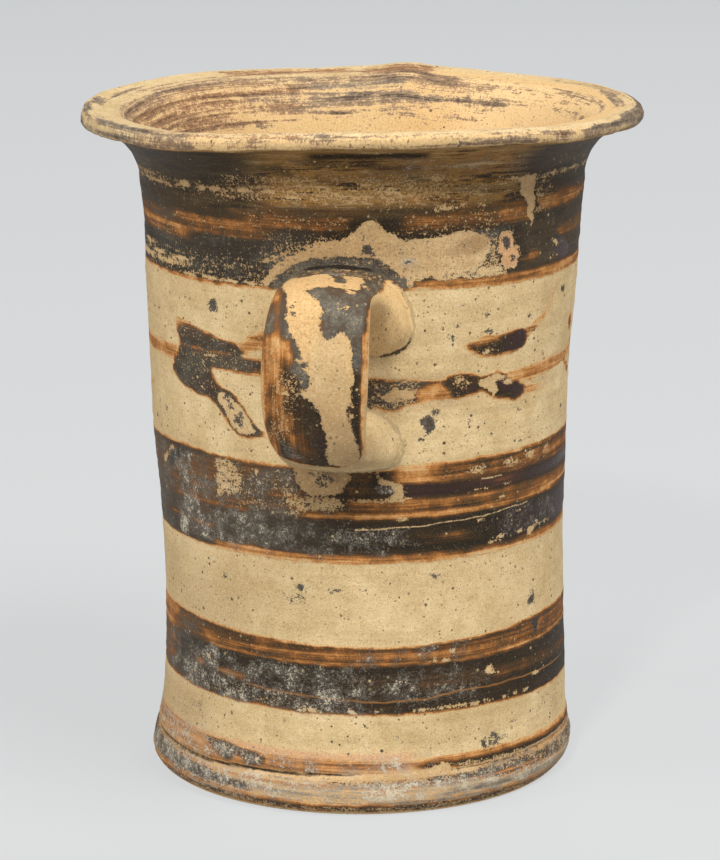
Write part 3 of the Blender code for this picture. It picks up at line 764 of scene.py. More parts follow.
def upper_band(coat):
    """The wide band under the handle: worn on the left, streaked with orange on the right."""
    coat.paint(coat.band(UPPER_TOP, UPPER_BOTTOM), 0.84)
    coat.shade(coat.band(offset(UPPER_TOP, 0.2), offset(UPPER_TOP, -0.55)), 0.25, depth=0.34)
    # Left: matt and grey, with a brown arc, a nearly bare patch and one orange line
    coat.shade(coat.band(61.8, 45.8, -110, -4), 2, slate=0.46)
    coat.shade(coat.band(61.8, 52.8, -110, -6), 1.5, depth=0.66)
    coat.shade(coat.band(62.2, 53, -36, -6), 1.5, loss=0.3)
    coat.bands("bloom", (61, 46.5, -62, 4, 0.24, 2), (61.5, 54.6, -56, -42, 0.42, 1.5),
        (53, 46, -50, -18, 0.48, 1.5), (50, 46, -18, 16, 0.34, 1.5))
    coat.shade(coat.outline((-35, 61.6), (-30, 61.8), (-27, 60), (-26, 57.4), (-29, 55.4),
        (-35.4, 54.6), (-35.5, 58)), 0.5, loss=0.54)
    for u, v in ((-22.5, 58.6), (-17, 57.6), (-12.6, 59)):
        coat.grow("flake", coat.stroke((u - 1.8, v - 2.4, 0.08), (u + 1.6, v + 2.2, 0.2)))
    arc_mark = coat.stroke((-57.5, 58.4, 0.9), (-54, 59.6, 0.8), (-50, 60.9, 0.6), (-46.5, 61.1, 0.35))
    coat.shade(arc_mark, 0.4, depth=0.95, slate=0.1, loss=0.05)
    coat.grow("flake", coat.stroke((-61.6, 58.2, 0.5), (-58.5, 59.6, 0.3), (-54.5, 61.3, 0.25)))
    for top, bottom, left, right in ((53.6, 53, -54, -25), (49.3, 48.9, -59, -38),
            (46.5, 45.3, -36, 0)):
        mark = coat.band(top, bottom, left, right)
        coat.shade(mark, 0.4, depth=0.34)
        coat.shade(mark, 0.3, slate=0)
    coat.ovals("bloom", (-45, 54.5, 1, 4.2, 0.62, 1), (-52, 47.2, 1.8, 1.8, 0.75, 1),
        (-29, 49.5, 3, 2.2, 0.35, 1), (0, 49.6, 5, 1.8, 0.28, 1))
    # Under the handle: tan where the paint has gone, with brown patches
    bare = coat.outline((-10.5, 61.8), (-4, 62.4), (2, 62.3), (4.8, 61.6), (4.2, 59.6), (3, 57.9),
        (0.5, 57.2), (-3, 57), (-6, 56.6), (-8.5, 57.6), (-10, 59.4))
    coat.grow("flake", bare, coat.outline((11.3, 62.3), (12.4, 60.4), (15, 59.7), (18.2, 58.9),
        (19.6, 57.8), (18.8, 56.4), (16, 56.1), (14.6, 56.6), (16.2, 57.6), (15.6, 58.6), (12.6, 59.2),
        (11, 60.4)))
    coat.shade(bare, 1, tone=-0.25)
    # Painted shade under the handle: the clay here is darkened
    coat.shade(coat.band(63.5, 56, -12, 14), 1, soil=0.95)
    # A dark patch just under the strap's lower root, partly a painted shadow
    coat.shade(coat.oval(-2, 60.4, 2.2, 1.4, 30), 0.4, depth=0.62)
    coat.grow("spot", np.minimum(coat.oval(-2, 60.4, 2.4, 1.5, 30), 0) + 0.02)
    coat.dots("spot", (-5.2, 60.9, 0.35, 0.3), (1, 61.2, 0.4, 0.2))
    coat.shade(coat.band(57, 53.4, -12, 3), 0.7, loss=0.55)
    brown = coat.outline((4.6, 61.8), (10, 62.2), (10.4, 60.2), (9.4, 58), (7, 57.2), (3.6, 57.6))
    coat.shade(brown, 0.4, depth=0.62)
    coat.flakes(56.3, 0.3, (4.8, 13.5), (12, 19.8))
    coat.shade(coat.oval(13.5, 58.2, 1.6, 1.1), 0.5, bloom=0.55)
    # Right: orange-brown above, a plum strip, an orange line and a black stripe below it
    coat.bands("depth", (62.6, 59, 16, 30, 0.18, 0.5), (62.2, 59, 28, 100, 0.5, 1.2),
        (58.8, 56.8, 17, 100, 0.93, 0.35))
    coat.shade(coat.band(62, 59.2, 28, 72), 0.7, loss=0.26)
    for u, v in ((40, 60.6), (51.5, 60.5), (60.5, 61.1), (69, 61)):
        coat.shade(coat.oval(u, v, 1.8, 0.9), 0.4, loss=0.5)
    coat.shade(coat.band(58.8, 56.8, 17, 100), 0.5, plum=0.85)
    coat.shade(coat.oval(48, 57.8, 5, 0.7), 0.8, depth=0.58)
    coat.thin("scratch", [(34, 58.9), (42, 58.7), (50, 58.7)], 40.5, 49.5)
    coat.shade(coat.band(56.3, 54.6, 4, 100), 0.35, depth=0.46)
    coat.dots("flake", (41, 56.8, 1.2, 0.18), (40, 60.5, 0.4, 0.3), (61, 61, 0.4, 0.3),
        (50.4, 57, 0.8, 0.22), (48.8, 54.9, 0.4, 0.18), (17.8, 53, 0.8, 0.3), (56.8, 47.6, 1.1, 0.3),
        (45.6, 46.8, 0.35, 0.25), (48, 47, 0.7, 0.25), (51, 46.2, 0.35, 0.3), (64.6, 48.5, 0.5, 0.2))
    line = [(-16, 53.3), (6, 53.7), (30, 53.7), (60, 53.9), (88, 54.2), (180, 54.2)]
    coat.bands("depth", (offset(line, 0.5), offset(line, -0.6), -9, 137, 0.26, 0.5),
        (52.7, 46.8, -22, 180, 0.94, 0.35), (50, 48.2, 24, 40, 0.8, 0.6))
    coat.shade(coat.band(offset(line, 0.6), offset(line, -0.6), -9, 137), 0.4, slate=0, loss=0)
    coat.shade(coat.band(52.4, 46.9, 50, 100), 1.5, plum=0.55)
    coat.grow("flake", coat.outline((59.4, 47.3), (61, 48), (63.4, 47.9), (64.6, 47.3), (62.6, 46.6),
        (60.2, 46.4)))
    coat.thin("scratch", [(5, 51.1), (20, 51.4), (38, 51.9), (55, 52.6), (68, 53)], 5, 60)
    coat.shade(coat.oval(32.5, 49.4, 2.4, 0.6), 0.5, depth=0.52)
    coat.bands("bloom", (52.6, 47.2, 48, 76, 0.3, 1.5), (51.6, 47.8, 8, 22, 0.34, 1))
    coat.flakes(51.3, 0.18, (41, 43), (55, 57))
    coat.flakes(47.7, 0.26, (47, 50), (56, 58.4), (66, 70))
    foot = [(-180, 46.6), (-40, 46.4), (-24, 47.1), (-16, 46.6), (0, 46.6), (40, 46.5), (88, 47),
        (180, 46.6)]
    coat.shade(coat.band(offset(foot, -0.2), offset(UPPER_BOTTOM, -0.2), -38, 180), 0.5, depth=0.3)
    coat.shade(coat.band(foot, offset(UPPER_BOTTOM, -0.2), -38, 180), 0.3, slate=0)


def lower_band(coat):
    """The second wide band: orange stripes over black, and a row of losses at its foot."""
    coat.paint(coat.band(LOWER_TOP, LOWER_BOTTOM), 0.92)
    coat.shade(coat.band(offset(LOWER_TOP, 0.3), offset(LOWER_TOP, -0.35)), 0.2, depth=0.4)
    stripe = [(-180, 27.2), (-62, 27.4), (-30, 27.1), (0, 26.9), (30, 26.9), (88, 27.2), (180, 27.2)]
    stripes = coat.band(offset(LOWER_TOP, -0.4), stripe)
    coat.shade(stripes, 0.5, depth=0.6)
    coat.shade(coat.band(offset(stripe, 2), offset(stripe, 1), -44, 152), 0.5, depth=0.42)
    coat.shade(stripes, 0.4, loss=0.2)
    coat.bands("depth", (offset(stripe, 0.35), offset(stripe, -0.3), -42, 132, 0.26, 0.35),
        (24.6, 22.4, 4, 158, 0.76, 1.2), (23.4, 22.6, 20, 118, 0.66, 0.6))
    coat.thin("hairline", [(-30, 21.7), (-18, 21.2), (0, 20.6), (12, 20.2), (22, 20.4), (34, 21.2),
        (50, 21.1), (66, 20.9), (88, 20.8)], -28, 84)
    # Left: faded pink over grey, and thick bloom
    coat.bands("depth", (31.9, 26.4, -125, -62, 0.3, 1.2), (26.2, 18.8, -125, -61, 0.6, 1.2))
    coat.shade(coat.band(31, 18.4, -112, -44), 2, slate=0.4)
    coat.shade(coat.outline((-44, 28.9), (-30, 28.6), (-30, 26.9), (-36, 26.9), (-42, 27.6)), 0.4,
        depth=0.36)
    coat.ovals("depth", (-46.5, 23.2, 1.6, 0.8, 0.4, 0.5), (-33, 22.7, 4, 0.7, -2, 0.44, 0.4))
    coat.bands("bloom", (26.6, 18.4, -70, 8, 0.39, 1.5), (22, 18.2, -58, 6, 0.52, 1.5),
        (26.6, 18.4, 8, 42, 0.34, 2), (30.6, 27, 4, 40, 0.26, 1))
    coat.shade(coat.band(22, 18, -58, -10), 1, loss=0.3)
    coat.ovals("bloom", (6.5, 21.9, 1.8, 1.2, 0.6, 0.6), (13.5, 21.6, 1.6, 1.3, 0.45, 0.6),
        (27.5, 21.9, 2.2, 1, 25, 0.45, 0.6), (-41.5, 25, 2.6, 2.2, 0.55, 0.8))
    coat.grow("flake", coat.oval(-42.2, 24.7, 0.8, 0.4))
    coat.flakes(18.55, 0.34, (-11.8, -8.8), (-9.4, -6), (2.6, 4.6), (9.4, 10.6), (19.8, 21),
        (22.4, 25.6), (27, 29), (29.2, 32), (32, 34.8), (35, 36.4), (37.6, 40.8), (41.6, 44.8),
        (48, 50.2), (52.6, 53.8), (57.2, 59))
    coat.dots("flake", (44.3, 24, 0.95, 0.75), (46.7, 23.3, 0.45, 0.3), (36.7, 23.3, 0.35, 0.28),
        (17, 27.7, 0.3, 0.3), (26.8, 27.2, 0.9, 0.35), (29.6, 27, 0.8, 0.3), (32, 28.6, 0.4, 0.5),
        (20.6, 29.9, 0.35, 0.3), (53.6, 27.9, 0.5, 0.2), (62.8, 20.9, 1, 0.35))
    drip = coat.outline((60.6, 30.2), (62.2, 30.7), (64.2, 30.8), (66.2, 31.3), (66.5, 30.7),
        (65.2, 30), (64.9, 28.7), (63.6, 27.9), (62.4, 28.4), (62, 29.6))
    coat.grow("spot", drip)


def foot_paint(coat):
    """The orange band over the cut line, and the streaked, scuffed edge below it."""
    cut = offset(CUT_HEIGHT, 0.15)
    coat.paint(coat.band(FOOT_BAND_TOP, cut), 0.3, 1.6)
    coat.bands("depth", (FOOT_BAND_TOP, cut, 14, 181, 0.26, 1.2), (9.2, 7.4, -40, 18, 0.4, 0.8))
    coat.bands("bloom", (11, 7, -80, 24, 0.48, 1.2), (11.6, 7, -95, -42, 0.6, 1.2))
    coat.shade(coat.band(11, 7, -95, 20), 1, tone=-0.9)
    coat.shade(coat.band(11.5, 7, -95, 20), 1, loss=0.36)
    black = coat.outline((-40.8, 10.3), (-38, 10.6), (-34, 10.7), (-29, 10.2), (-24, 10), (-20.5, 9.3),
        (-19.8, 8.3), (-23.4, 7.5), (-26.6, 8.2), (-29.8, 9.1), (-30.6, 7.6), (-33.6, 7.4), (-37, 8.5),
        (-39.6, 9.4))
    coat.shade(black, 0.3, depth=0.88)
    coat.shade(black, 0.4, loss=0.36, slate=0.5)
    coat.bands("depth", (9.8, 8, -19, 3, 0.36, 0.6), (8.9, 7.3, 22, 140, 0.84, 0.5))
    coat.bands("loss", (9.8, 7.9, -19, 20, 0.25, 0.8), (8.6, 7.2, 22, 60, 0.42, 0.4))
    coat.ovals("bloom", (14.2, 9, 3.4, 1, 0.58, 0.8), (2, 9.5, 4.5, 0.9, 0.35, 0.8),
        (9, 12.6, 4.5, 1.2, 0.18, 1))
    coat.grow("flake", coat.outline((25.6, 7.4), (26.8, 8.5), (28.8, 9.1), (31.2, 8.6), (32.6, 7.7),
        (31.4, 7.1), (29, 6.8), (27.2, 7.1)))
    coat.dots("flake", (35.6, 8.1, 0.7, 0.25), (38.2, 8, 0.6, 0.2))
    coat.grow("spot", np.minimum(coat.oval(44.3, 11, 2.1, 1.3), 0.06), coat.stroke((45.2, 12.4, 0.15),
        (46.4, 11.2, 0.4), (49.6, 11.4, 0.3)))
    coat.thin("scratch", offset(CUT_HEIGHT, 0.5), 34, 90)
    # Below the cut line
    coat.paint(coat.band(cut, 0.4), 0.16, 0.4)
    coat.shade(coat.band(cut, 2.4), 0.4, loss=0.56)
    coat.bands("worn", (cut, 2, -90, 120, 0.32, 0.6), (cut, 2, 28, 120, 0.5, 0.6),
        (4.8, 3.2, -30, 30, 0.36, 0.6))
    coat.shade(coat.band(cut, 2), 0.6, slate=1, tone=-0.3)
    coat.shade(coat.band(offset(CUT_HEIGHT, -0.1), offset(CUT_HEIGHT, -0.9), -26, 40), 0.3, loss=0.92,
        worn=0.22)
    coat.shade(coat.band(6.4, 5.5, -2, 30), 0.4, depth=0.7, slate=0.8)
    coat.shade(coat.band(6.3, 2.5, -80, 90), 0.6, bloom=0.6)
    dark = coat.band([(-90, 6), (-50, 5.6), (-26, 4.2)], [(-90, 3.2), (-50, 2.8), (-26, 3)], -95, -24)
    coat.shade(dark, 0.5, depth=0.85, slate=1, loss=0.3, worn=0)
    brown = coat.band([(30, 6.6), (50, 6.9), (120, 6.6)], [(30, 5.8), (50, 4.6), (120, 3.6)], 26, 128)
    coat.shade(brown, 0.6, depth=0.78, slate=0.5, loss=0.4, worn=0, bloom=0.42)
    coat.shade(coat.band(5.5, 5, -58, 62), 0.2, depth=0.34, loss=0.15)
    coat.shade(coat.band(6.8, 5.7, 52, 120), 0.3, depth=0.82)
    coat.flakes(6.35, 0.3, (37, 40), (41.5, 43.5), (44, 46), (47, 49), (50.5, 52.5))
    coat.shade(coat.band(2.5, 1.9, -80, -12), 0.2, depth=0.32, loss=0.1)
    coat.shade(coat.band(2, 0.2), 0.3, depth=0.72, loss=0.42)
    coat.shade(coat.band(2.8, 2.1, 18, 88), 0.25, depth=0.4)


def bare_marks(coat):
    """Grey smears and dark specks on the two bare zones between the bands."""
    coat.dots("spot", (-9.8, 40.3, 0.8, 0.6), (-8.3, 39.9, 0.5, 0.3), (-11.6, 38.7, 0.9, 0.5),
        (-9.9, 38, 0.5, 0.35), (-12.6, 37.4, 0.4, 0.2), (61.4, 34.4, 0.95, 0.95),
        (62.6, 35.1, 0.6, 0.5), (54.9, 34.6, 0.45, 0.4), (65.9, 43.6, 0.4, 0.7),
        (76.4, 36.9, 1.3, 0.45), (73.4, 35.6, 0.4, 0.35), (59.6, 38.9, 0.4, 0.25),
        (62.8, 36.7, 0.3, 0.4), (27.6, 42.5, 0.6, 0.35), (29.2, 43.8, 0.4, 0.25),
        (28.4, 41.8, 0.4, 0.3), (30, 35.7, 0.25, 0.2), (27, 36.2, 0.3, 0.3), (36, 36.3, 0.25, 0.2),
        (-37.6, 42.6, 0.5, 0.25), (-39.4, 42.8, 0.4, 0.25), (-33.4, 40.4, 0.45, 0.35),
        (-42.5, 38, 0.35, 0.2), (-56.2, 34.7, 0.6, 0.45), (-53.2, 14.6, 0.4, 0.3),
        (16, 14.1, 0.25, 0.2), (66.3, 14.7, 0.4, 0.3), (68.2, 15.3, 0.35, 0.25), (53, 13.6, 0.4, 0.25),
        (70.8, 33.2, 0.4, 0.25))
    for u, v, wide, high in ((-10.4, 39.4, 3.2, 2.2), (28.4, 42.4, 2.2, 1.6), (61.6, 34.8, 2, 1.6),
            (-33.5, 40.6, 2.2, 1.2), (70, 15, 2.2, 1.6), (-46, 14.5, 2.4, 1.8), (20.5, 43.2, 1.6, 1)):
        coat.grow("spot", np.minimum(coat.oval(u, v, wide, high), 0) - 0.2)
    coat.grow("spot", coat.stroke((-2.2, 39.9, 0.3), (-0.6, 40, 0.5), (0.9, 40.1, 0.3)))
    coat.shade(coat.oval(7, 16.3, 3, 0.8), 0.8, bloom=0.14)


def root_marks(coat):
    """On the wall by the strap's roots: smeared clay, partly a painted highlight, a dark notch,
    painted shade by the upper root, and darker clay on the left side.
    """
    # Paler clay on the lower root's flank: a clay smear, partly a painted highlight where it faces up
    coat.shade(coat.oval(15, 68, 4, 4.5), 2, tone=0.2)
    # Painted shade on the flank by the upper root; the rest darkens the clay on the left side
    coat.ovals("soil", (11.5, 88, 2.6, 6, 0.35, 2), (-40, 33, 9, 9, 0.3, 6))
    coat.bands("soil", (17.5, 11, -90, -40, 0.46, 2), (43.5, 33, -90, -52, 0.34, 3),
        (92.5, 62.5, -110, -70, 0.3, 5))
    coat.grow("spot", coat.stroke((16.2, 63.9, 0.2), (16.7, 62.9, 0.32)))


def outer_coat(angle, height):
    """Everything on the cup's outer side."""
    coat = Coat(angle, height, MM_PER_DEGREE)
    foot_paint(coat)
    lower_band(coat)
    upper_band(coat)
    back_motifs(coat)
    left_motif(coat)
    right_motif(coat)
    neck_paint(coat)
    bare_marks(coat)
    root_marks(coat)
    # Dirt and painted shade in the foot's cut line, darker where the cut is deeper
    off_cut = height - follow(CUT_HEIGHT, angle)
    depth = follow(CUT_DEPTH, angle)
    thin_end = 0.62 * smooth_step(angle, 14.0, 34.0) * smooth_step(angle, 150.0, 110.0)
    held = np.maximum(smooth_step(depth, 0.12, 0.5), thin_end)
    coat.layers["dirt_and_shade"] = np.exp(-(off_cut / 0.3) ** 2) * held
    return coat.layers


# Rings brushed round the mouth: their edges in mm inside the crown, their span in degrees,
# how much is left of them, and how grey and how reddish they are
RINGS = [
    (-5.6, -15.8, 224, 292, 0.24, 0.2, 0.9), (-5.4, -12.8, 150, 224, 0.12, 0.5, 0.6),
    (-5.9, -6.9, 110, 131, 0.72, 0.3, 0.3), (-5.6, -6.3, 84, 114, 0.46, 0.3, 0.3),
    (-7.1, -7.6, 106, 137, 0.52, 0.3, 0.4), (-4.7, -5.1, 96, 150, 0.36, 0.4, 0.5),
    (-6, -7, 131, 142, 0.34, 0.3, 0.4), (-5.8, -7.6, 160, 172, 0.52, 0.4, 0.3),
    (-6, -7.8, 171, 182, 0.62, 0.4, 0.2), (-5.8, -7, 180, 204, 0.58, 0.5, 0.2),
    (-7.6, -8.6, 176, 202, 0.6, 1, 0.1), (-7.2, -8.5, 202, 208, 0.8, 0.3, 0),
    (-5.8, -6.6, 206, 252, 0.5, 0.4, 0.3), (-6.6, -8, 208, 252, 0.34, 0.3, 0.8),
    (-5.8, -8, 248, 288, 0.52, 0.6, 0.5), (-8.2, -9.5, 203, 292, 0.66, 0.2, 1.2),
    (-9.4, -11, 203, 222, 0.46, 0.6, 0.4), (-10, -11, 220, 262, 0.62, 0.1, 1),
    (-10, -11.1, 143, 170, 0.6, 0.8, 0.3), (-9, -9.8, 148, 163, 0.34, 0.6, 0.3),
    (-9.9, -12.2, 168, 182, 0.62, 0.8, 0.3), (-9.6, -12, 182, 203, 0.62, 0.8, 0.3),
    (-8.9, -9.6, 176, 200, 0.42, 0.9, 0.2), (-12, -13, 198, 218, 0.66, 1.2, 0),
    (-12.6, -13.4, 206, 232, 0.4, 0.1, 1), (-13, -14.2, 230, 250, 0.54, 0, 0.8),
    (-11.2, -12.2, 214, 262, 0.34, 0.3, 0.7), (-14.5, -15, 216, 244, 0.5, 0, 0.6),
    (-8.9, -10, 104, 127, 0.74, 0.5, 0.3), (-7.9, -8.5, 114, 130, 0.66, 0.3, 0.4),
    (-9.8, -10.8, 133, 162, 0.62, 0.7, 0.4), (-6.2, -6.9, 140, 172, 0.52, 0.3, 0.5),
    (-8, -8.7, 136, 176, 0.44, 0.3, 0.8), (-9.2, -10.2, 84, 108, 0.46, 0.6, 0.3),
    (-11, -11.6, 96, 112, 0.34, 0.8, 0.4), (-13, -13.6, 166, 171, 0.8, 0.6, 0),
    (-13.5, -14.1, 172, 182, 0.66, 0.6, 0), (-13.2, -14.2, 189, 197, 0.5, 0.4, 0.2),
    (-12.6, -13.4, 199, 206, 0.62, 0.4, 0.2), (-15.2, -15.8, 166, 169, 0.74, 0.3, 0),
    (-15.4, -16.2, 214, 219, 0.56, 0.4, 0), (-1, -5.4, 169, 183, 0.66, 0, 1.3),
    (-1.2, -4.8, 181, 188, 0.4, 0, 1.2), (-0.8, -3.4, 190, 222, 0.36, 0, 1.2),
    (-0.7, -1.8, 108, 140, 0.46, 0.4, 0.5), (-2, -3.4, 92, 110, 0.56, 0.9, 0.3),
    (0, -2.2, 267, 277, 0.5, 0.8, 0), (-1.4, -3, 247, 263, 0.46, 0.6, 0.5),
    (-4, -4.9, 222, 268, 0.26, 0.4, 0.5), (-5.3, -6.2, 240, 283, 0.52, 0.5, 0.4),
    (-1.8, -2.9, 250, 265, 0.46, 0.6, 0.3), (-0.6, -1.2, 128, 142, 0.46, 0.6, 0.2),
    (-1.4, -2.4, 100, 118, 0.46, 0.6, 0.2), (-8, -10.6, 290, 372, 0.52, 0.3, 0.7),
    (-11.6, -13, 272, 400, 0.42, 0.3, 0.7), (-8.4, -10, 12, 86, 0.56, 0.5, 0.5),
    (-12.2, -13.2, 30, 96, 0.4, 0.5, 0.5), (-5.8, -6.6, 290, 420, 0.36, 0.3, 0.5),
    (-6.9, -7.7, 206, 292, 0.42, 0.2, 0.9), (-11.4, -12.3, 204, 276, 0.46, 0.2, 0.9),
    (-12.6, -13.5, 236, 286, 0.48, 0.2, 0.8), (-14, -14.9, 206, 258, 0.4, 0.2, 0.7),
    (-15.6, -16.4, 222, 270, 0.36, 0.2, 0.7), (-4.2, -5.2, 150, 250, 0.32, 0.4, 0.6),
    (-2.6, -3.3, 186, 246, 0.34, 0.3, 0.9), (-6.9, -7.5, 140, 206, 0.44, 0.4, 0.5),
    (-9, -9.7, 128, 150, 0.4, 0.5, 0.4), (-11, -11.8, 140, 204, 0.44, 0.6, 0.5),
    (-3.2, -3.9, 118, 168, 0.28, 0.3, 0.8), (-12.8, -13.6, 150, 206, 0.34, 0.5, 0.5),
    (-14.6, -15.3, 150, 206, 0.26, 0.5, 0.5),
]
# Patches left on the lip's edge, in the same way; + is outward of the crown
LIP_PATCHES = [
    (3.6, 2.2, 268, 292, 0.74, 0.9, 0), (5.8, 4.2, 270, 300, 0.66, 0.9, 0),
    (1.2, -0.6, 276, 290, 0.58, 0.9, 0), (2.2, 0.4, 298, 322, 0.58, 0.8, 0.1),
    (3.9, 2.6, 300, 318, 0.66, 0.8, 0.1), (4.6, 3.4, 316, 334, 0.6, 0.5, 0.5),
    (4.6, 1.6, 318, 415, 0.2, 0.2, 1.2), (2.4, -1.4, 318, 415, 0.24, 0.6, 0.5),
    (3.6, 2.2, 10, 25, 0.3, 0.5, 0.6), (3.6, 2.4, 27, 43, 0.34, 0.5, 0.5),
    (4, 1.8, 48, 53, 0.52, 0.5, 0.5), (4, 2, 55, 75, 0.46, 0.4, 0.5),
    (3.6, 2.4, 322, 330, 0.46, 0.5, 0.4), (3.8, 2.4, 340, 350, 0.42, 0.4, 0.6),
    (3.6, 2.2, 357, 363, 0.46, 0.5, 0.4), (1.4, 0.2, 8, 20, 0.24, 0.5, 0.4),
    (5, 0, 78, 112, 0.5, 0.9, 0), (8, 3.2, 268, 290, 0.36, 0.6, 0.2),
    (4, -0.6, 292, 314, 0.34, 0.8, 0.1), (7, 3, 262, 300, 0.52, 0.7, 0.1),
    (2.6, 0.8, 282, 304, 0.48, 0.9, 0), (4.2, 1, 290, 333, 0.46, 0.7, 0.3),
    (4.2, 2.2, 318, 331, 0.44, 0.3, 0.6), (1.6, 0, 296, 316, 0.4, 1, 0),
    (4.3, 3, 336, 364, 0.32, 0.3, 0.9), (2, 0.8, 332, 356, 0.22, 0.2, 1.2),
    (2, 0.9, 358.4, 361, 0.62, 0.8, 0), (4.3, 3, 360, 370, 0.36, 0.3, 0.8),
    (4.3, 3.2, 369, 386, 0.46, 0.3, 0.8), (4.2, 2.4, 385, 404, 0.56, 0.5, 0.5),
    (2.6, 1, 403.5, 407, 0.6, 0.6, 0.3), (3.6, 1.4, 407, 413, 0.62, 0.4, 0.7),
    (4.2, 3, 415, 438, 0.6, 0.3, 0.4), (3, 1.4, 418, 440, 0.7, 0.7, 0.1),
    (4.4, 0, 432, 474, 0.7, 0.8, 0.3), (7.2, 3.8, 424, 474, 0.56, 0.2, 0.8),
    (4.4, 1, 474, 520, 0.36, 0.5, 0.4), (4.4, 1, 200, 262, 0.32, 0.4, 0.5),
    (1.2, 0, 90, 180, 0.22, 0.6, 0.5),
]
# What is added to how much is left of rings and patches, and the most that can be left
RING_GAIN = 0.26
LIP_GAIN = 0.08
MOST_LEFT = 0.76


def mouth_coat(angle, way):
    """Everything inside the cup and on the lip. Way is mm from the crown, outward +."""
    turned = np.where(angle < 0, angle + 360, angle)
    coat = Coat(turned, way, MOUTH_MM_PER_DEGREE)
    for rows, gain in ((RINGS, RING_GAIN), (LIP_PATCHES, LIP_GAIN)):
        for top, bottom, left, right, worn, grey, red in rows:
            for shift in (0, -360):
                ring = coat.band(top, bottom, left + shift, right + shift)
                kept = min(worn + gain, MOST_LEFT) * smooth_step(ring, -0.35, 0.35)
                coat.layers["worn"] = np.maximum(coat.layers["worn"], kept)
                coat.shade(ring, 0.5, slate=grey, ochre=red)
    # Paler clay inside, a painted pool of light on the inner wall to the right, and a little darker
    # clay over the inside
    coat.bands("tone", (-6, -200, 0.55, 3), (-3, -26, 40, 168, 1.5, 4))
    coat.shade(coat.band(-4, -200), 3, soil=0.1)
    # Under the lip the neck's paint begins, ochre where it is thin
    coat.paint(coat.band(7.2, 4.1), 0.6, 0.5)
    coat.shade(coat.band(7.2, 4.1), 0.6, ochre=0.8, loss=0.34)
    coat.shade(coat.band(7.2, 4.4), 0.3, worn=0)
    # Paler clay along the front of the lip, partly painted light on its upturned top
    coat.bands("tone", (4.4, 1.4, -32, 56, 0.6, 0.8), (4.4, 1.4, 328, 420, 0.6, 0.8))
    coat.grow("spot", coat.stroke((25.4, 4.2, 0.12), (25.8, 2.6, 0.16)))
    return coat.layers


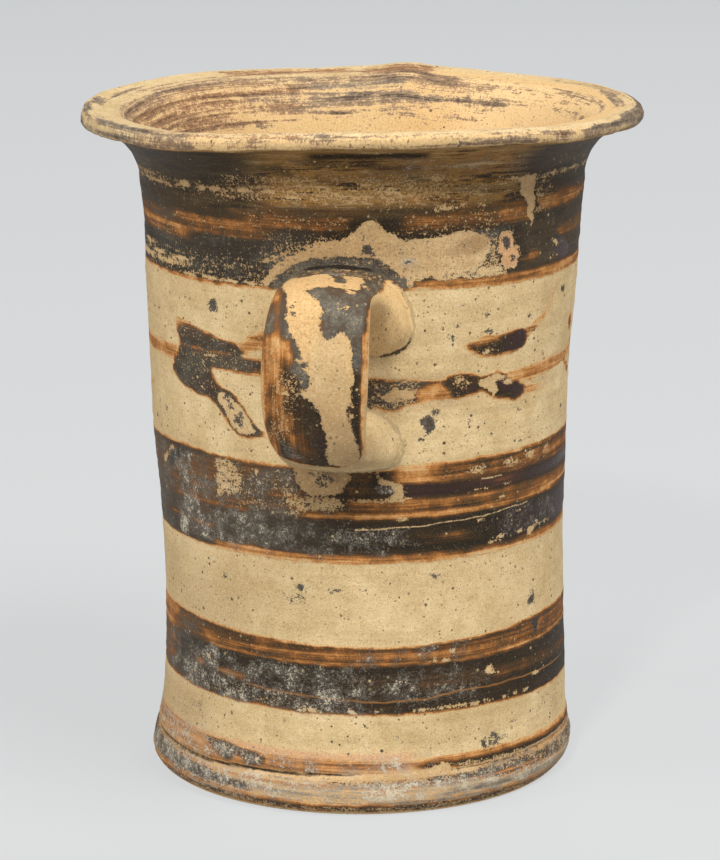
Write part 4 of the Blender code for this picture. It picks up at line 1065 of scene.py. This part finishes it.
def strap_coat(way, across, share):
    """Everything on the strap. Way runs over its outer face from the upper root."""
    coat = Coat(across, way, 1, 0.12)
    # The paint stops short of both edges and ends in a bow below
    left = [(5, -8.6), (20, -8.8), (28, -9.3), (34, -9.1), (40, -8.8), (46, -8.3), (50, -7.4)]
    right = [(5, 9.2), (18, 8.5), (35, 8.4), (40, 8.2), (45, 7.9), (50, 7.7)]
    ends = [(-9, 48.6), (-7, 50), (-3, 51.2), (0, 51.8), (3, 52.6), (6, 51.4), (8, 49)]
    edge = np.minimum(coat.u - follow(left, coat.v), follow(right, coat.v) - coat.u)
    edge = np.minimum(edge, follow(ends, coat.u) - coat.v)
    coat.paint(edge, 0.9, 0.3)
    stripe = coat.outline((-7.9, 5), (-7, 5), (-6.4, 7), (-5.2, 9.6), (-4.4, 9.9), (-3.2, 9.3),
        (-2.1, 8.6), (-0.2, 7.7), (0.2, 8.6), (0.9, 10.4), (1.3, 12.4), (1.6, 14.4), (3.6, 14.6),
        (3.4, 12.6), (2.6, 10.4), (2.1, 9.2), (2.6, 8.5), (5.5, 8.4), (6, 9.6), (6, 15.2), (6, 16.6),
        (4.6, 17), (2.9, 16.9), (1.4, 16.5), (0.5, 15.7), (-0.4, 16.2), (-1.3, 17), (-2.1, 17.7),
        (-2.9, 18.3), (-2.1, 18.8), (-1.4, 19.6), (-0.6, 20.5), (0.3, 21.1), (0.9, 22.3), (0.8, 23.2),
        (0.2, 24.1), (0.7, 25.2), (0.7, 26.5), (1.2, 27.4), (1.8, 27.6), (2.6, 27.1), (3.4, 26.6),
        (4, 25.9), (4.7, 26.3), (5.5, 27.5), (6, 29), (6, 31), (6.2, 33), (6.2, 35), (5.8, 37),
        (5.4, 39), (5.5, 41), (6, 43), (6.6, 45), (6.8, 47), (6.9, 49), (6.7, 50.6), (5.6, 51.6),
        (3.8, 51.8), (2, 50.8), (1.2, 49.4), (1.7, 47.8), (1.8, 46), (1.6, 43), (0.7, 40), (-0.4, 37),
        (-0.5, 34), (-1.8, 31.2), (-2.9, 28.4), (-4.6, 26), (-5, 24.6), (-5.4, 20.6), (-6, 17.8),
        (-6.9, 15.6), (-7.3, 12), (-7.9, 9))
    coat.grow("flake", stripe)
    coat.shade(coat.band(32.5, -6), 1.5, slate=1)
    coat.shade(coat.band(29, 5), 1.5, depth=0.78)
    coat.shade(coat.outline((-5.2, 28), (-3.2, 28), (0.6, 36.5), (-1.2, 37.5)), 0.6, slate=1)
    coat.shade(coat.band(8.6, -6), 0.6, loss=0.36)
    coat.shade(coat.outline((-1.5, 17.2), (7.6, 17.2), (7.6, 26), (2, 24)), 1.2, bloom=0.14)
    coat.shade(coat.outline((0.2, 7), (1.9, 7), (2.4, 10.4), (1.2, 11)), 0.4, bloom=0.6)
    # Pink and orange along both edges, red-brown brush marks lower left, black beside them
    rim = coat.outline((-9, 9), (-8, 12), (-7.3, 17), (-6.6, 20), (-6.8, 22), (-6.5, 24), (-6.4, 27),
        (-4.9, 27.6), (-4.2, 29), (-3.6, 31), (-4.4, 34), (-5, 38), (-5.4, 41), (-9, 42))
    coat.shade(rim, 0.7, depth=0.24)
    coat.shade(rim, 0.5, slate=0)
    coat.shade(coat.outline((-9, 20), (-6.2, 20), (-6, 26.5), (-9, 26.5)), 0.8, slate=0.9, depth=0.62)
    coat.shade(coat.outline((-9, 28), (-4.6, 28), (-4, 34), (-9, 33)), 1.2, depth=0.3)
    coat.shade(coat.outline((-9, 27), (-5.4, 27), (-4.6, 36), (-6.8, 40)), 0.6, loss=0.36)
    coat.shade(coat.band(60, 38), 1, slate=0)
    lower = coat.outline((-9, 40), (-5.6, 39), (-3.4, 41), (-1, 42), (-0.6, 49.6), (-9, 51))
    coat.shade(lower, 1.6, depth=0.56)
    coat.shade(coat.outline((-9, 34), (-6.4, 34), (-5.8, 44), (-6.4, 47), (-9, 47)), 1.6, depth=0.4)
    for u, v, wide, high, depth in ((-4.9, 33.5, 0.9, 1.8, 0.78), (-6.8, 36.5, 0.8, 1.5, 0.66),
            (-3.6, 37.4, 1, 2.2, 0.6), (-6, 31.4, 0.8, 1, 0.5), (-7.6, 42, 0.9, 2.6, 0.62),
            (-5.2, 41.8, 0.8, 1.8, 0.34), (-2.4, 45.8, 1, 2.4, 0.7), (-5, 47.5, 1.6, 1.6, 0.72),
            (-7.2, 47.6, 0.9, 1.4, 0.4)):
        coat.shade(coat.oval(u, v, wide, high), 0.8, depth=depth)
    coat.shade(coat.outline((-7, 32), (-3, 33), (-2.6, 41), (-5, 46), (-8, 46)), 1, loss=0.4)
    for line, top, foot, depth in ((-4.3, 40.5, 46, 0.38), (-2.2, 43, 48, 0.42), (-3.3, 39, 43, 0.95),
            (-5.3, 44, 50, 0.74), (-1.2, 41, 46, 0.72), (-3.4, 46.5, 50, 0.66)):
        coat.shade(coat.stroke((line, top, 0.3), (line + 0.2, foot, 0.4)), 0.9, depth=depth)
    coat.shade(coat.outline((-4.8, 34), (-2.6, 32), (-0.8, 36), (0.3, 40), (1.4, 43), (1.6, 50),
        (-0.2, 50.5), (-0.6, 44), (-1.8, 40.4), (-4, 39.6)), 0.8, depth=0.84)
    coat.shade(coat.outline((-1, 41), (0.6, 41), (1.4, 46), (0, 48)), 0.6, plum=0.6)
    coat.shade(coat.outline((-5.4, 33.4), (-2.6, 32.4), (-1, 38), (-5, 38.6)), 0.6, loss=0.34)
    coat.shade(coat.outline((-6.4, 44), (-3.2, 46), (-1.6, 50.6), (-6.6, 50)), 0.8, bloom=0.3)
    coat.shade(coat.outline((7.5, 26), (9, 26), (9, 52), (6.9, 52), (7.3, 44)), 0.25, depth=0.26)
    coat.shade(coat.outline((8, 19), (9, 19), (9, 27), (7.9, 27)), 0.25, depth=0.24)
    coat.shade(coat.outline((7.6, 20), (9, 20), (9, 52), (7.2, 52)), 0.25, slate=0, bloom=0)
    coat.dots("flake", (-2.9, 31, 0.5, 0.6), (-2.7, 33.9, 0.5, 0.35), (-1.7, 32.6, 0.3, 0.35),
        (-1.8, 36.6, 0.75, 0.95), (-4.9, 36.4, 0.75, 0.55), (-5.4, 34, 0.3, 0.3), (6.9, 14, 0.5, 0.9),
        (3.4, 21.8, 0.3, 0.5), (4.6, 21.9, 0.35, 0.5), (4.6, 17.8, 0.7, 0.6), (0, 17.2, 0.5, 0.6),
        (6.6, 32.2, 0.4, 0.3), (6.4, 38.6, 0.6, 0.18), (6.2, 40.4, 0.5, 0.4))
    for u, v, size in ((-4.6, 21.9, 0.35), (-4.1, 22.9, 0.35), (-3.4, 23.4, 0.25), (0.4, 28.2, 0.22),
            (-0.2, 26.8, 0.2), (2.6, 31.4, 0.28), (3.4, 42.6, 0.18), (4.6, 42, 0.2), (3.2, 45.2, 0.22)):
        coat.grow("spot", coat.oval(u, v, size, size * 1.3))
    # Painted light: the strap's upper part, which faces up, is made paler
    coat.shade(coat.band(34, 0, -9, 9), 8, tone=1.6)
    coat.shade(coat.oval(2.4, 32, 2.6, 7), 3, tone=-0.4)
    # Painted shade: the strap's lower part, which faces down, is darkened
    coat.shade(coat.band(60, 37), 5, soil=0.72)
    layers = coat.layers
    face = 2 * FAR * (1 - smooth_step(share, 0.4, 0.6))
    for name in ("paint", "flake"):
        layers[name] = layers[name] - face
    return layers


def mesh_object(name, points, faces):
    """Puts points in millimetres and their faces into the scene."""
    mesh = bpy.data.meshes.new(name)
    mesh.from_pydata((points * MM).tolist(), [], faces)
    made = bpy.data.objects.new(name, mesh)
    bpy.context.scene.collection.objects.link(made)
    return made


def joined(cup, strap):
    """The cup and the strap as one closed surface."""
    union = cup.modifiers.new("strap", "BOOLEAN")
    union.operation = "UNION"
    union.solver = "EXACT"
    union.object = strap
    evaluated = cup.evaluated_get(bpy.context.evaluated_depsgraph_get())
    mesh = bpy.data.meshes.new_from_object(evaluated)
    mesh.name = PIECE
    piece = bpy.data.objects.new(PIECE, mesh)
    bpy.context.scene.collection.objects.link(piece)
    for used in (cup, strap):
        bpy.data.objects.remove(used)
    return piece


def numbers(items, name, width, kind):
    """One property of all of a mesh's points or edges."""
    values = np.zeros(len(items) * width, kind)
    items.foreach_get(name, values)
    return values.reshape(-1, width)


def traced(points, originals):
    """For each point the original in the same place, or -1 where the join made it."""
    index = {tuple(place): k for k, place in enumerate(np.float32(originals * MM).tolist())}
    return np.array([index.get(tuple(place), -1) for place in points.tolist()])


def neighbour_mean(values, edges, weights):
    """The weighted mean of each point's neighbours, and the weight that it rests on."""
    ends = np.vstack([edges, edges[:, ::-1]])
    share = weights[ends[:, 1]]
    count = len(values)
    total = [np.bincount(ends[:, 0], share * column[ends[:, 1]], count) for column in values.T]
    weight = np.bincount(ends[:, 0], share, count)
    return np.column_stack(total) / np.maximum(weight, 1e-9)[:, None], weight


# How far from the seam, in mm, the clay is eased, how often, and how far each time
SEAM_REACH = 2.4
SEAM_PASSES = 34
SEAM_EASE = 0.5
# Passes that carry the layers onto the points that the join made
FILL_PASSES = 3


def from_seam(points, seam):
    """The distance from the seam in mm, up to its reach."""
    tree = KDTree(len(seam))
    for index in seam:
        tree.insert(Vector(points[index]), int(index))
    tree.balance()
    low, high = points[seam].min(axis=0) - SEAM_REACH, points[seam].max(axis=0) + SEAM_REACH
    off = np.full(len(points), FAR)
    for index in np.flatnonzero(((points > low) & (points < high)).all(axis=1)):
        off[index] = tree.find(Vector(points[index]))[2]
    return off


def dress(mesh, originals, layers):
    """Eases the clay where the strap meets the wall, and stores the layers on the mesh."""
    places = numbers(mesh.vertices, "co", 3, np.float32)
    edges = numbers(mesh.edges, "vertices", 2, np.int64)
    source = traced(places, originals)
    points = places.astype(float) / MM
    known = source >= 0
    off = from_seam(points, np.flatnonzero(~known))
    near = edges[(off[edges] < SEAM_REACH + 1.0).any(axis=1)]
    weight = smooth_step(-off, -SEAM_REACH, -0.2)[:, None]
    for _ in range(SEAM_PASSES):
        mean, _ = neighbour_mean(points, near, np.ones(len(points)))
        points = np.where(weight > 0.0, points + SEAM_EASE * weight * (mean - points), points)
    mesh.vertices.foreach_set("co", (points * MM).ravel())

    values = np.column_stack([layers[name] for name in layers])[source]
    filled = known.astype(float)
    for _ in range(FILL_PASSES):
        mean, rest = neighbour_mean(values, near, filled)
        fresh = (filled == 0.0) & (rest > 0.0)
        values[fresh] = mean[fresh]
        filled[fresh] = 1.0
    columns = dict(zip(layers, values.T))
    # Painted shade and dirt in the crease where the strap meets the wall
    columns["dirt_and_shade"] = np.maximum(columns["dirt_and_shade"], seam_shade_and_dirt(points, off))
    for name in LAYERS:
        attribute = mesh.attributes.new(name, "FLOAT", "POINT")
        attribute.data.foreach_set("value", columns[name].astype(np.float32))
    attribute = mesh.attributes.new("brush", "FLOAT_VECTOR", "POINT")
    brush = np.column_stack([columns[name] for name in BRUSH]).astype(np.float32)
    attribute.data.foreach_set("vector", brush.ravel())
    mesh.update()


def seam_shade_and_dirt(points, off):
    """Painted shade and dirt in the crease: along the top of the strap, and where its flank meets the
    wall.
    """
    x, _, z = points.T
    top = smooth_step(z, 95.5, 96.8) * smooth_step(-np.abs(x - 1.0), -9, -5)
    flank = smooth_step(x, 7.4, 8.6) * smooth_step(-z, -86.5, -84.0) * smooth_step(z, 79.0, 80.5)
    return np.maximum(0.85 * top * np.exp(-(off / 0.28) ** 2),
                      0.75 * flank * np.exp(-(off / 0.18) ** 2))


def colour(red, green, blue):
    """A colour given in the screen's 0 to 255, as the renderer's own numbers."""
    parts = np.array((red, green, blue)) / 255.0
    linear = np.where(parts < 0.04045, parts / 12.92, ((parts + 0.055) / 1.055) ** 2.4)
    return (*linear, 1.0)


# What the finished colour is multiplied by, and how strongly the fine relief shows
BRIGHTNESS = (0.92, 0.92, 0.92)
BUMP_STRENGTH = 0.9


class Shader:
    """Adds nodes to one material in short lines."""

    def __init__(self, name):
        self.material = bpy.data.materials.new(name)
        self.material.use_nodes = True
        self.tree = self.material.node_tree
        self.surface = self.tree.nodes["Principled BSDF"]

    def put(self, socket, value):
        """Links a socket to another, or gives it a plain value."""
        if isinstance(value, bpy.types.NodeSocket):
            self.tree.links.new(value, socket)
        else:
            socket.default_value = value

    def layer(self, name, field="Fac"):
        """A layer of the coat."""
        node = self.tree.nodes.new("ShaderNodeAttribute")
        node.attribute_name = name
        return node.outputs[field]

    def maths(self, operation, *values):
        """One step of arithmetic."""
        node = self.tree.nodes.new("ShaderNodeMath")
        node.operation = operation
        for socket, value in zip(node.inputs, values):
            self.put(socket, value)
        return node.outputs[0]

    def add(self, first, second):
        """The sum of two values."""
        return self.maths("ADD", first, second)

    def times(self, first, second):
        """The product of two values."""
        return self.maths("MULTIPLY", first, second)

    def less(self, value):
        """One minus a value."""
        return self.maths("SUBTRACT", 1.0, value)

    def step(self, value, low, high, to_low=0.0, to_high=1.0, smooth=True):
        """Eases from one number to another as a value passes from low to high."""
        node = self.tree.nodes.new("ShaderNodeMapRange")
        node.interpolation_type = "SMOOTHSTEP" if smooth else "LINEAR"
        for name, given in (("Value", value), ("From Min", low), ("From Max", high),
                            ("To Min", to_low), ("To Max", to_high)):
            self.put(node.inputs[name], given)
        return node.outputs["Result"]

    def stretch(self, vector, scale):
        """Scales a place, one number each way."""
        node = self.tree.nodes.new("ShaderNodeVectorMath")
        node.operation = "MULTIPLY"
        self.put(node.inputs[0], vector)
        self.put(node.inputs[1], scale)
        return node.outputs[0]

    def noise(self, place, scale, detail=4.0, roughness=0.6):
        """Fractal noise, spread so that each value from 0 to 1 is about as common."""
        node = self.tree.nodes.new("ShaderNodeTexNoise")
        self.put(node.inputs["Vector"], place)
        self.put(node.inputs["Scale"], scale)
        self.put(node.inputs["Detail"], detail)
        self.put(node.inputs["Roughness"], roughness)
        return self.step(node.outputs["Fac"], 0.33, 0.67, smooth=False)

    def specks(self, place, scale, size):
        """Small round specks of unlike sizes, 1 in their middles."""
        node = self.tree.nodes.new("ShaderNodeTexVoronoi")
        self.put(node.inputs["Vector"], place)
        self.put(node.inputs["Scale"], scale)
        split = self.tree.nodes.new("ShaderNodeSeparateColor")
        self.put(split.inputs[0], node.outputs["Color"])
        radius = self.times(self.maths("POWER", split.outputs[0], 2.5), size)
        return self.step(node.outputs["Distance"], radius, self.times(radius, 0.6))

    def mix(self, share, first, second):
        """One colour into another."""
        node = self.tree.nodes.new("ShaderNodeMix")
        node.data_type = "RGBA"
        sockets = [socket for socket in node.inputs if socket.enabled]
        for socket, value in zip(sockets, (share, first, second)):
            self.put(socket, value)
        return next(socket for socket in node.outputs if socket.enabled)

    def ramp(self, value, *stops):
        """A row of colours, each at its own place."""
        node = self.tree.nodes.new("ShaderNodeValToRGB")
        elements = node.color_ramp.elements
        while len(elements) < len(stops):
            elements.new(0.5)
        for element, (place, *shade) in zip(elements, stops):
            element.position = place
            element.color = colour(*shade)
        self.put(node.inputs[0], value)
        return node.outputs["Color"]


def painted_clay():
    """Fired clay with worn paint, read from the coat's layers and fine noise in mm."""
    s = Shader(SLOT)
    place = s.layer("brush", "Vector")
    ragged = s.noise(place, 0.85, 5.0, 0.70)
    tear = s.noise(s.stretch(place, (0.40, 0.40, 1.5)), 1.0, 5.0, 0.68)
    grit = s.noise(place, 2.1, 4.0, 0.70)
    grain = s.noise(place, 3.6, 3.0, 0.75)
    streak = s.noise(s.stretch(place, (0.05, 0.05, 1.25)), 1.0, 4.0, 0.62)
    sweep = s.noise(s.stretch(place, (0.10, 0.10, 0.75)), 1.0, 5.0, 0.70)
    hair = s.noise(s.stretch(place, (0.06, 0.06, 4.2)), 1.0, 3.0, 0.6)
    cloud = s.noise(place, 0.07, 4.0, 0.6)
    patch = s.noise(place, 0.28, 4.0, 0.6)
    swings = {noise: s.add(noise, -0.5) for noise in (ragged, tear, grit, grain, streak, hair,
                                                      patch, sweep)}

    def blend(*parts):
        """The sum of noises about zero, each times its weight."""
        total = s.times(swings[parts[0][0]], parts[0][1])
        for noise, weight in parts[1:]:
            total = s.add(total, s.times(swings[noise], weight))
        return total

    # The clay: mottled, iron-red or pale by its tone, then soil and painted shade, pores and dust
    shade = s.add(s.times(cloud, 0.40), s.add(s.times(patch, 0.30), s.times(streak, 0.14)))
    shade = s.add(shade, s.times(grit, 0.16))
    clay = s.ramp(shade, (0.10, 190, 162, 114), (0.5, 208, 181, 134),
                  (0.90, 224, 200, 154))
    tone = s.layer("tone")
    clay = s.mix(s.times(s.step(tone, 0.0, -1.0), s.add(0.75, s.times(grit, 0.25))), clay,
                 colour(212, 156, 112))
    clay = s.mix(s.step(tone, 0.0, 1.0), clay, colour(220, 182, 126))
    # The palest clay is painted light: on the inner wall to the right and the strap's upper part
    clay = s.mix(s.step(tone, 1.0, 2.0), clay, colour(250, 216, 164))
    # Darker olive clay: soil, and painted shade under the lip, under the handle, on the strap's lower
    # part and by its upper root
    soil = s.times(s.layer("soil"), s.step(s.add(patch, s.times(swings[grit], 0.6)), 0.0, 0.8,
                                           0.35, 1.0))
    clay = s.mix(soil, clay, colour(150, 120, 82))
    pores = s.times(s.specks(place, 0.70, 0.29), s.step(ragged, 0.20, 0.6, 0.35, 1.0))
    clay = s.mix(pores, clay, colour(70, 55, 42))
    dust = s.times(s.specks(place, 1.5, 0.40), s.step(patch, 0.20, 0.80, 0.3, 0.9))
    clay = s.mix(dust, clay, colour(104, 80, 52))
    clay = s.mix(s.times(s.step(grain, 0.60, 1.0), 0.60), clay, colour(142, 112, 74))
    clay = s.mix(s.times(s.step(grain, 0.38, 0.0), 0.48), clay, colour(240, 218, 176))

    # The paint: its colour by thickness, then ochre wash, grey, speckle and plum
    edge = s.add(s.layer("paint"), blend((ragged, 0.26), (grit, 0.14)))
    depth = s.times(s.layer("depth"), s.step(edge, -0.2, 0.8, 0.26, 1.0))
    swing = blend((streak, 0.26), (hair, 0.20), (patch, 0.26), (grit, 0.16))
    depth = s.add(depth, s.times(swing, s.step(depth, 1.05, 0.6, 0.55, 1.0)))
    paint = s.ramp(depth, (0.0, 216, 178, 126), (0.16, 200, 146, 88),
                   (0.30, 170, 112, 56), (0.46, 122, 77, 37),
                   (0.62, 82, 54, 26), (0.80, 51, 36, 18),
                   (1.0, 30, 22, 11))
    brushed = s.add(0.52, blend((sweep, 1.45), (hair, 0.60), (grit, 0.30)))
    wash = s.ramp(brushed, (0.0, 46, 38, 30),
                  (0.22, 108, 80, 42), (0.42, 168, 128, 66),
                  (0.60, 150, 112, 62), (0.76, 112, 86, 58),
                  (1.0, 188, 156, 104))
    paint = s.mix(s.times(s.layer("ochre"), s.step(streak, 0.0, 0.6, 0.6, 1.0)), paint, wash)
    slate = s.times(s.layer("slate"), s.step(depth, 0.40, 0.70, 0.15, 1.0))
    paint = s.mix(s.times(slate, s.step(s.add(patch, s.times(swings[grit], 0.5)), 0.1, 0.9,
                                        0.25, 0.80)), paint, colour(110, 105, 95))
    clouds = s.step(s.add(patch, blend((ragged, 0.5), (streak, 0.3))), 0.35, 0.90)
    speckle = s.times(s.step(s.add(grain, s.times(swings[grit], 0.5)), 0.52, 0.95),
                      s.add(0.08, s.times(s.add(slate, 0.35), s.times(clouds, 0.60))))
    paint = s.mix(speckle, paint, colour(150, 132, 92))
    dots = s.times(s.specks(place, 0.95, 0.34), s.add(0.12, s.times(clouds, 0.60)))
    paint = s.mix(dots, paint, colour(212, 186, 136))
    paint = s.mix(s.times(s.layer("plum"), 0.75), paint, colour(56, 34, 32))

    # Where it is lost: flakes by their edges, crumbs by their share
    flake = s.add(s.layer("flake"), blend((ragged, 0.50), (tear, 0.26), (grit, 0.50),
                                          (grain, 0.36)))
    flake = s.step(flake, -0.03, 0.05)
    loss = s.layer("loss")
    crumbs = s.add(s.add(s.times(tear, 0.26), s.times(grit, 0.40)), s.times(grain, 0.34))
    crumbs = s.step(s.add(crumbs, loss), 0.93, 1.00)
    lost = s.maths("MAXIMUM", flake, s.times(crumbs, s.step(loss, 0.0, 0.05)))
    ground = s.step(edge, -0.24, 0.20)
    cover = s.times(ground, s.less(lost))
    cover = s.times(cover, s.step(depth, -0.05, 0.14, 0.35, 1.0))
    stain = s.times(s.times(ground, s.step(grit, 0.2, 0.9, 0.15, 0.75)), 0.8)
    clay = s.mix(stain, clay, colour(182, 142, 94))
    base = s.mix(cover, clay, paint)
    # Paint that is rubbed away but for its traces: brown, reddish or grey
    worn = s.layer("worn")
    left = s.add(worn, blend((streak, 0.50), (hair, 0.25), (ragged, 0.26), (tear, 0.30),
                             (grit, 0.36), (grain, 0.25)))
    rubbed = s.ramp(left, (0.38, 192, 160, 118), (0.58, 150, 124, 94),
                    (0.82, 120, 101, 80), (1.15, 70, 58, 46))
    red = s.ramp(left, (0.38, 196, 150, 104), (0.60, 160, 118, 80),
                 (1.1, 104, 72, 48))
    grey = s.ramp(left, (0.38, 180, 164, 136), (0.58, 142, 131, 114),
                  (1.1, 84, 79, 71))
    rubbed = s.mix(s.times(s.layer("ochre"), 0.75), rubbed, red)
    rubbed = s.mix(s.times(s.layer("slate"), 0.65), rubbed, grey)
    rubbed_share = s.times(s.step(left, 0.36, 0.50), s.step(worn, 0.0, 0.08))
    base = s.mix(rubbed_share, base, rubbed)

    # On top: pale bloom with a painted highlight, dark spots, scratches, thin lines, and dirt with
    # painted shade in groove and crease
    bloom = s.layer("bloom")
    frost_and_highlight = s.add(s.add(s.times(ragged, 0.34), s.times(grain, 0.40)), s.times(grit, 0.26))
    frost_and_highlight = s.add(frost_and_highlight, s.add(s.times(swings[patch], 0.40), bloom))
    haze = s.times(s.step(frost_and_highlight, 0.70, 1.20), 0.34)
    frost_and_highlight = s.times(s.step(frost_and_highlight, 1.06, 1.30), 0.80)
    shown = s.step(bloom, 0.0, 0.08)
    base = s.mix(s.times(haze, shown), base, colour(158, 150, 138))
    frost_and_highlight = s.times(frost_and_highlight, shown)
    base = s.mix(frost_and_highlight, base, colour(208, 196, 172))
    spot = s.add(s.layer("spot"), blend((ragged, 0.40), (grit, 0.50), (grain, 0.40)))
    spot = s.times(s.step(spot, -0.06, 0.12), 0.92)
    base = s.mix(spot, base, s.mix(s.times(grit, grit), colour(30, 29, 31), colour(96, 92, 90)))
    scratch = s.maths("ABSOLUTE", s.add(s.layer("scratch"), s.times(swings[ragged], 0.12)))
    scratch = s.times(s.step(scratch, 0.20, 0.06), s.step(grit, 0.15, 0.55, 0.15, 0.9))
    base = s.mix(scratch, base, colour(196, 166, 122))
    thin = s.maths("ABSOLUTE", s.add(s.layer("hairline"), s.times(swings[ragged], 0.12)))
    thin = s.times(s.step(thin, 0.26, 0.06), s.times(cover, s.step(streak, 0.1, 0.8, 0.3, 0.8)))
    base = s.mix(thin, base, colour(152, 104, 54))
    # Dirt and painted shade: dark in the foot's cut line and in the crease round the strap
    dirt_and_shade = s.step(s.add(s.layer("dirt_and_shade"), s.times(swings[ragged], 0.35)), 0.30, 0.75)
    base = s.mix(s.times(dirt_and_shade, 0.92), base, colour(34, 24, 15))
    s.put(s.surface.inputs["Base Color"], s.stretch(base, BRIGHTNESS))

    # Gloss follows the thick paint, and relief follows paint, grit, bloom, pores and scratches
    thick = s.times(cover, s.step(depth, 0.3, 0.9))
    rough = s.step(thick, 0.0, 1.0, 0.82, 0.60)
    rough = s.add(rough, s.times(swings[grit], 0.12))
    rough = s.maths("SUBTRACT", rough, s.times(s.layer("plum"), 0.22))
    s.put(s.surface.inputs["Roughness"], s.maths("MAXIMUM", rough, 0.28))
    s.put(s.surface.inputs["Specular IOR Level"], 0.22)

    height = s.add(s.times(cover, 0.045), blend((ragged, 0.035), (grit, 0.040), (grain, 0.025)))
    height = s.add(height, s.times(swings[hair], s.add(0.010, s.times(cover, 0.020))))
    height = s.add(height, s.times(frost_and_highlight, 0.03))
    height = s.maths("SUBTRACT", height, s.times(pores, 0.06))
    height = s.maths("SUBTRACT", height, s.times(scratch, 0.05))
    bump = s.tree.nodes.new("ShaderNodeBump")
    s.put(bump.inputs["Height"], height)
    s.put(bump.inputs["Distance"], MM)
    s.put(bump.inputs["Strength"], BUMP_STRENGTH)
    s.put(s.surface.inputs["Normal"], bump.outputs["Normal"])
    return s.material


def make_kyathos():
    """The whole vessel, in place of the solid."""
    cup_points, cup_faces, angle, height, way = turned_cup()
    outer = outer_coat(angle, height)
    mouth = mouth_coat(angle, way)
    outside = way > LIP_OUTER_WAY
    cup_layers = {name: np.where(outside, outer[name], mouth[name]) for name in LAYERS}
    on_lip = np.clip(LIP_OUTER_WAY - way, 0.0, LIP_OUTER_WAY)
    cup_layers.update(zip(BRUSH, (cup_points[:, 0], cup_points[:, 1],
                                   way + LIP_BRUSH_SLOWING * on_lip)))

    strap_points, strap_faces, along, across, share = strap_handle()
    strap_layers = strap_coat(along, across, share)
    strap_layers.update(zip(BRUSH, (along, STRAP_BRUSH_DEPTH * share, across)))

    piece = joined(mesh_object("turned_cup", cup_points, cup_faces),
                   mesh_object("strap", strap_points, strap_faces))
    layers = {name: np.r_[cup_layers[name], strap_layers[name]] for name in cup_layers}
    dress(piece.data, np.vstack([cup_points, strap_points]), layers)
    piece.data.shade_smooth()
    piece.data.materials.clear()
    piece.data.materials.append(painted_clay())
    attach(piece, "root")
    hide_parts(NODE)
    return piece


def plain_material(name, base, glow, strength):
    """A matt surface with a little light of its own."""
    material = bpy.data.materials.new(name)
    material.use_nodes = True
    surface = material.node_tree.nodes["Principled BSDF"]
    surface.inputs["Base Color"].default_value = base
    surface.inputs["Roughness"].default_value = 0.9
    surface.inputs["Specular IOR Level"].default_value = 0.1
    surface.inputs["Emission Color"].default_value = glow
    surface.inputs["Emission Strength"].default_value = strength
    return material


FLOOR_RADIUS = 6.0
FLOOR_SIDES = 96
FLOOR_GLOW = 0.80


def make_floor():
    """A pale floor that runs out past every view."""
    bpy.ops.mesh.primitive_circle_add(vertices=FLOOR_SIDES, radius=FLOOR_RADIUS, fill_type="NGON")
    floor = bpy.context.object
    floor.name = "studio_floor"
    floor.data.materials.append(plain_material("pale_floor", colour(96, 97, 98),
                                               colour(215, 217, 218), FLOOR_GLOW))


def aim(thing, target):
    """Turns a lamp to face a point."""
    direction = Vector(target) - thing.location
    thing.rotation_euler = direction.to_track_quat("-Z", "Y").to_euler()


CUP_MIDDLE = (0.0, 0.0, 0.06)
WARM_WHITE = (1.0, 0.985, 0.96)
WHITE = (1.0, 1.0, 1.0)
WORLD_STRENGTH = 0.06
# Soft boxes: a small one in front and above, large ones at both sides, one behind; each has
# its place and size in metres, its watts and its tint
SOFT_BOXES = [
    ("key_box", (-0.15, -1.06, 0.96), 0.14, 11.2, WARM_WHITE),
    ("left_box", (-1.07, -0.62, 0.72), 0.70, 9.4, WARM_WHITE),
    ("right_box", (0.66, -0.46, 1.20), 0.60, 17.5, WARM_WHITE),
    ("far_right_box", (1.26, -0.10, 0.60), 0.70, 2.5, WARM_WHITE),
    ("back_box", (0.09, 1.07, 0.96), 0.80, 4.6, WHITE),
]


def soft_light(name, place, size, watts, tint):
    """A square soft box aimed at the middle of the cup."""
    data = bpy.data.lights.new(name, "AREA")
    data.size = size
    data.energy = watts
    data.color = tint
    lamp = bpy.data.objects.new(name, data)
    lamp.location = place
    bpy.context.scene.collection.objects.link(lamp)
    aim(lamp, CUP_MIDDLE)


def make_lights():
    """Adds the soft boxes and a weak pale light from all round."""
    for box in SOFT_BOXES:
        soft_light(*box)
    world = bpy.data.worlds.new("pale_room")
    world.use_nodes = True
    background = world.node_tree.nodes["Background"]
    background.inputs["Color"].default_value = colour(215, 217, 219)
    background.inputs["Strength"].default_value = WORLD_STRENGTH
    bpy.context.scene.world = world


def make_camera():
    """The photograph's own view."""
    data = bpy.data.cameras.new("camera")
    data.sensor_width = SENSOR_SIZE
    data.lens = FOCAL_LENGTH_PIXELS * SENSOR_SIZE / PICTURE_HEIGHT_PIXELS
    camera = bpy.data.objects.new("camera", data)
    camera.location = (CAMERA_REACH * math.sin(VIEW_ANGLE), -CAMERA_REACH * math.cos(VIEW_ANGLE),
                       CAMERA_HEIGHT)
    camera.rotation_euler = (math.pi / 2 - CAMERA_TILT, 0.0, VIEW_ANGLE)
    camera.rotation_euler.rotate_axis("Z", CAMERA_ROLL)
    bpy.context.scene.collection.objects.link(camera)
    bpy.context.scene.camera = camera


make_camera()
make_lights()
make_floor()
make_kyathos()
bpy.context.scene.view_settings.view_transform = "Standard"
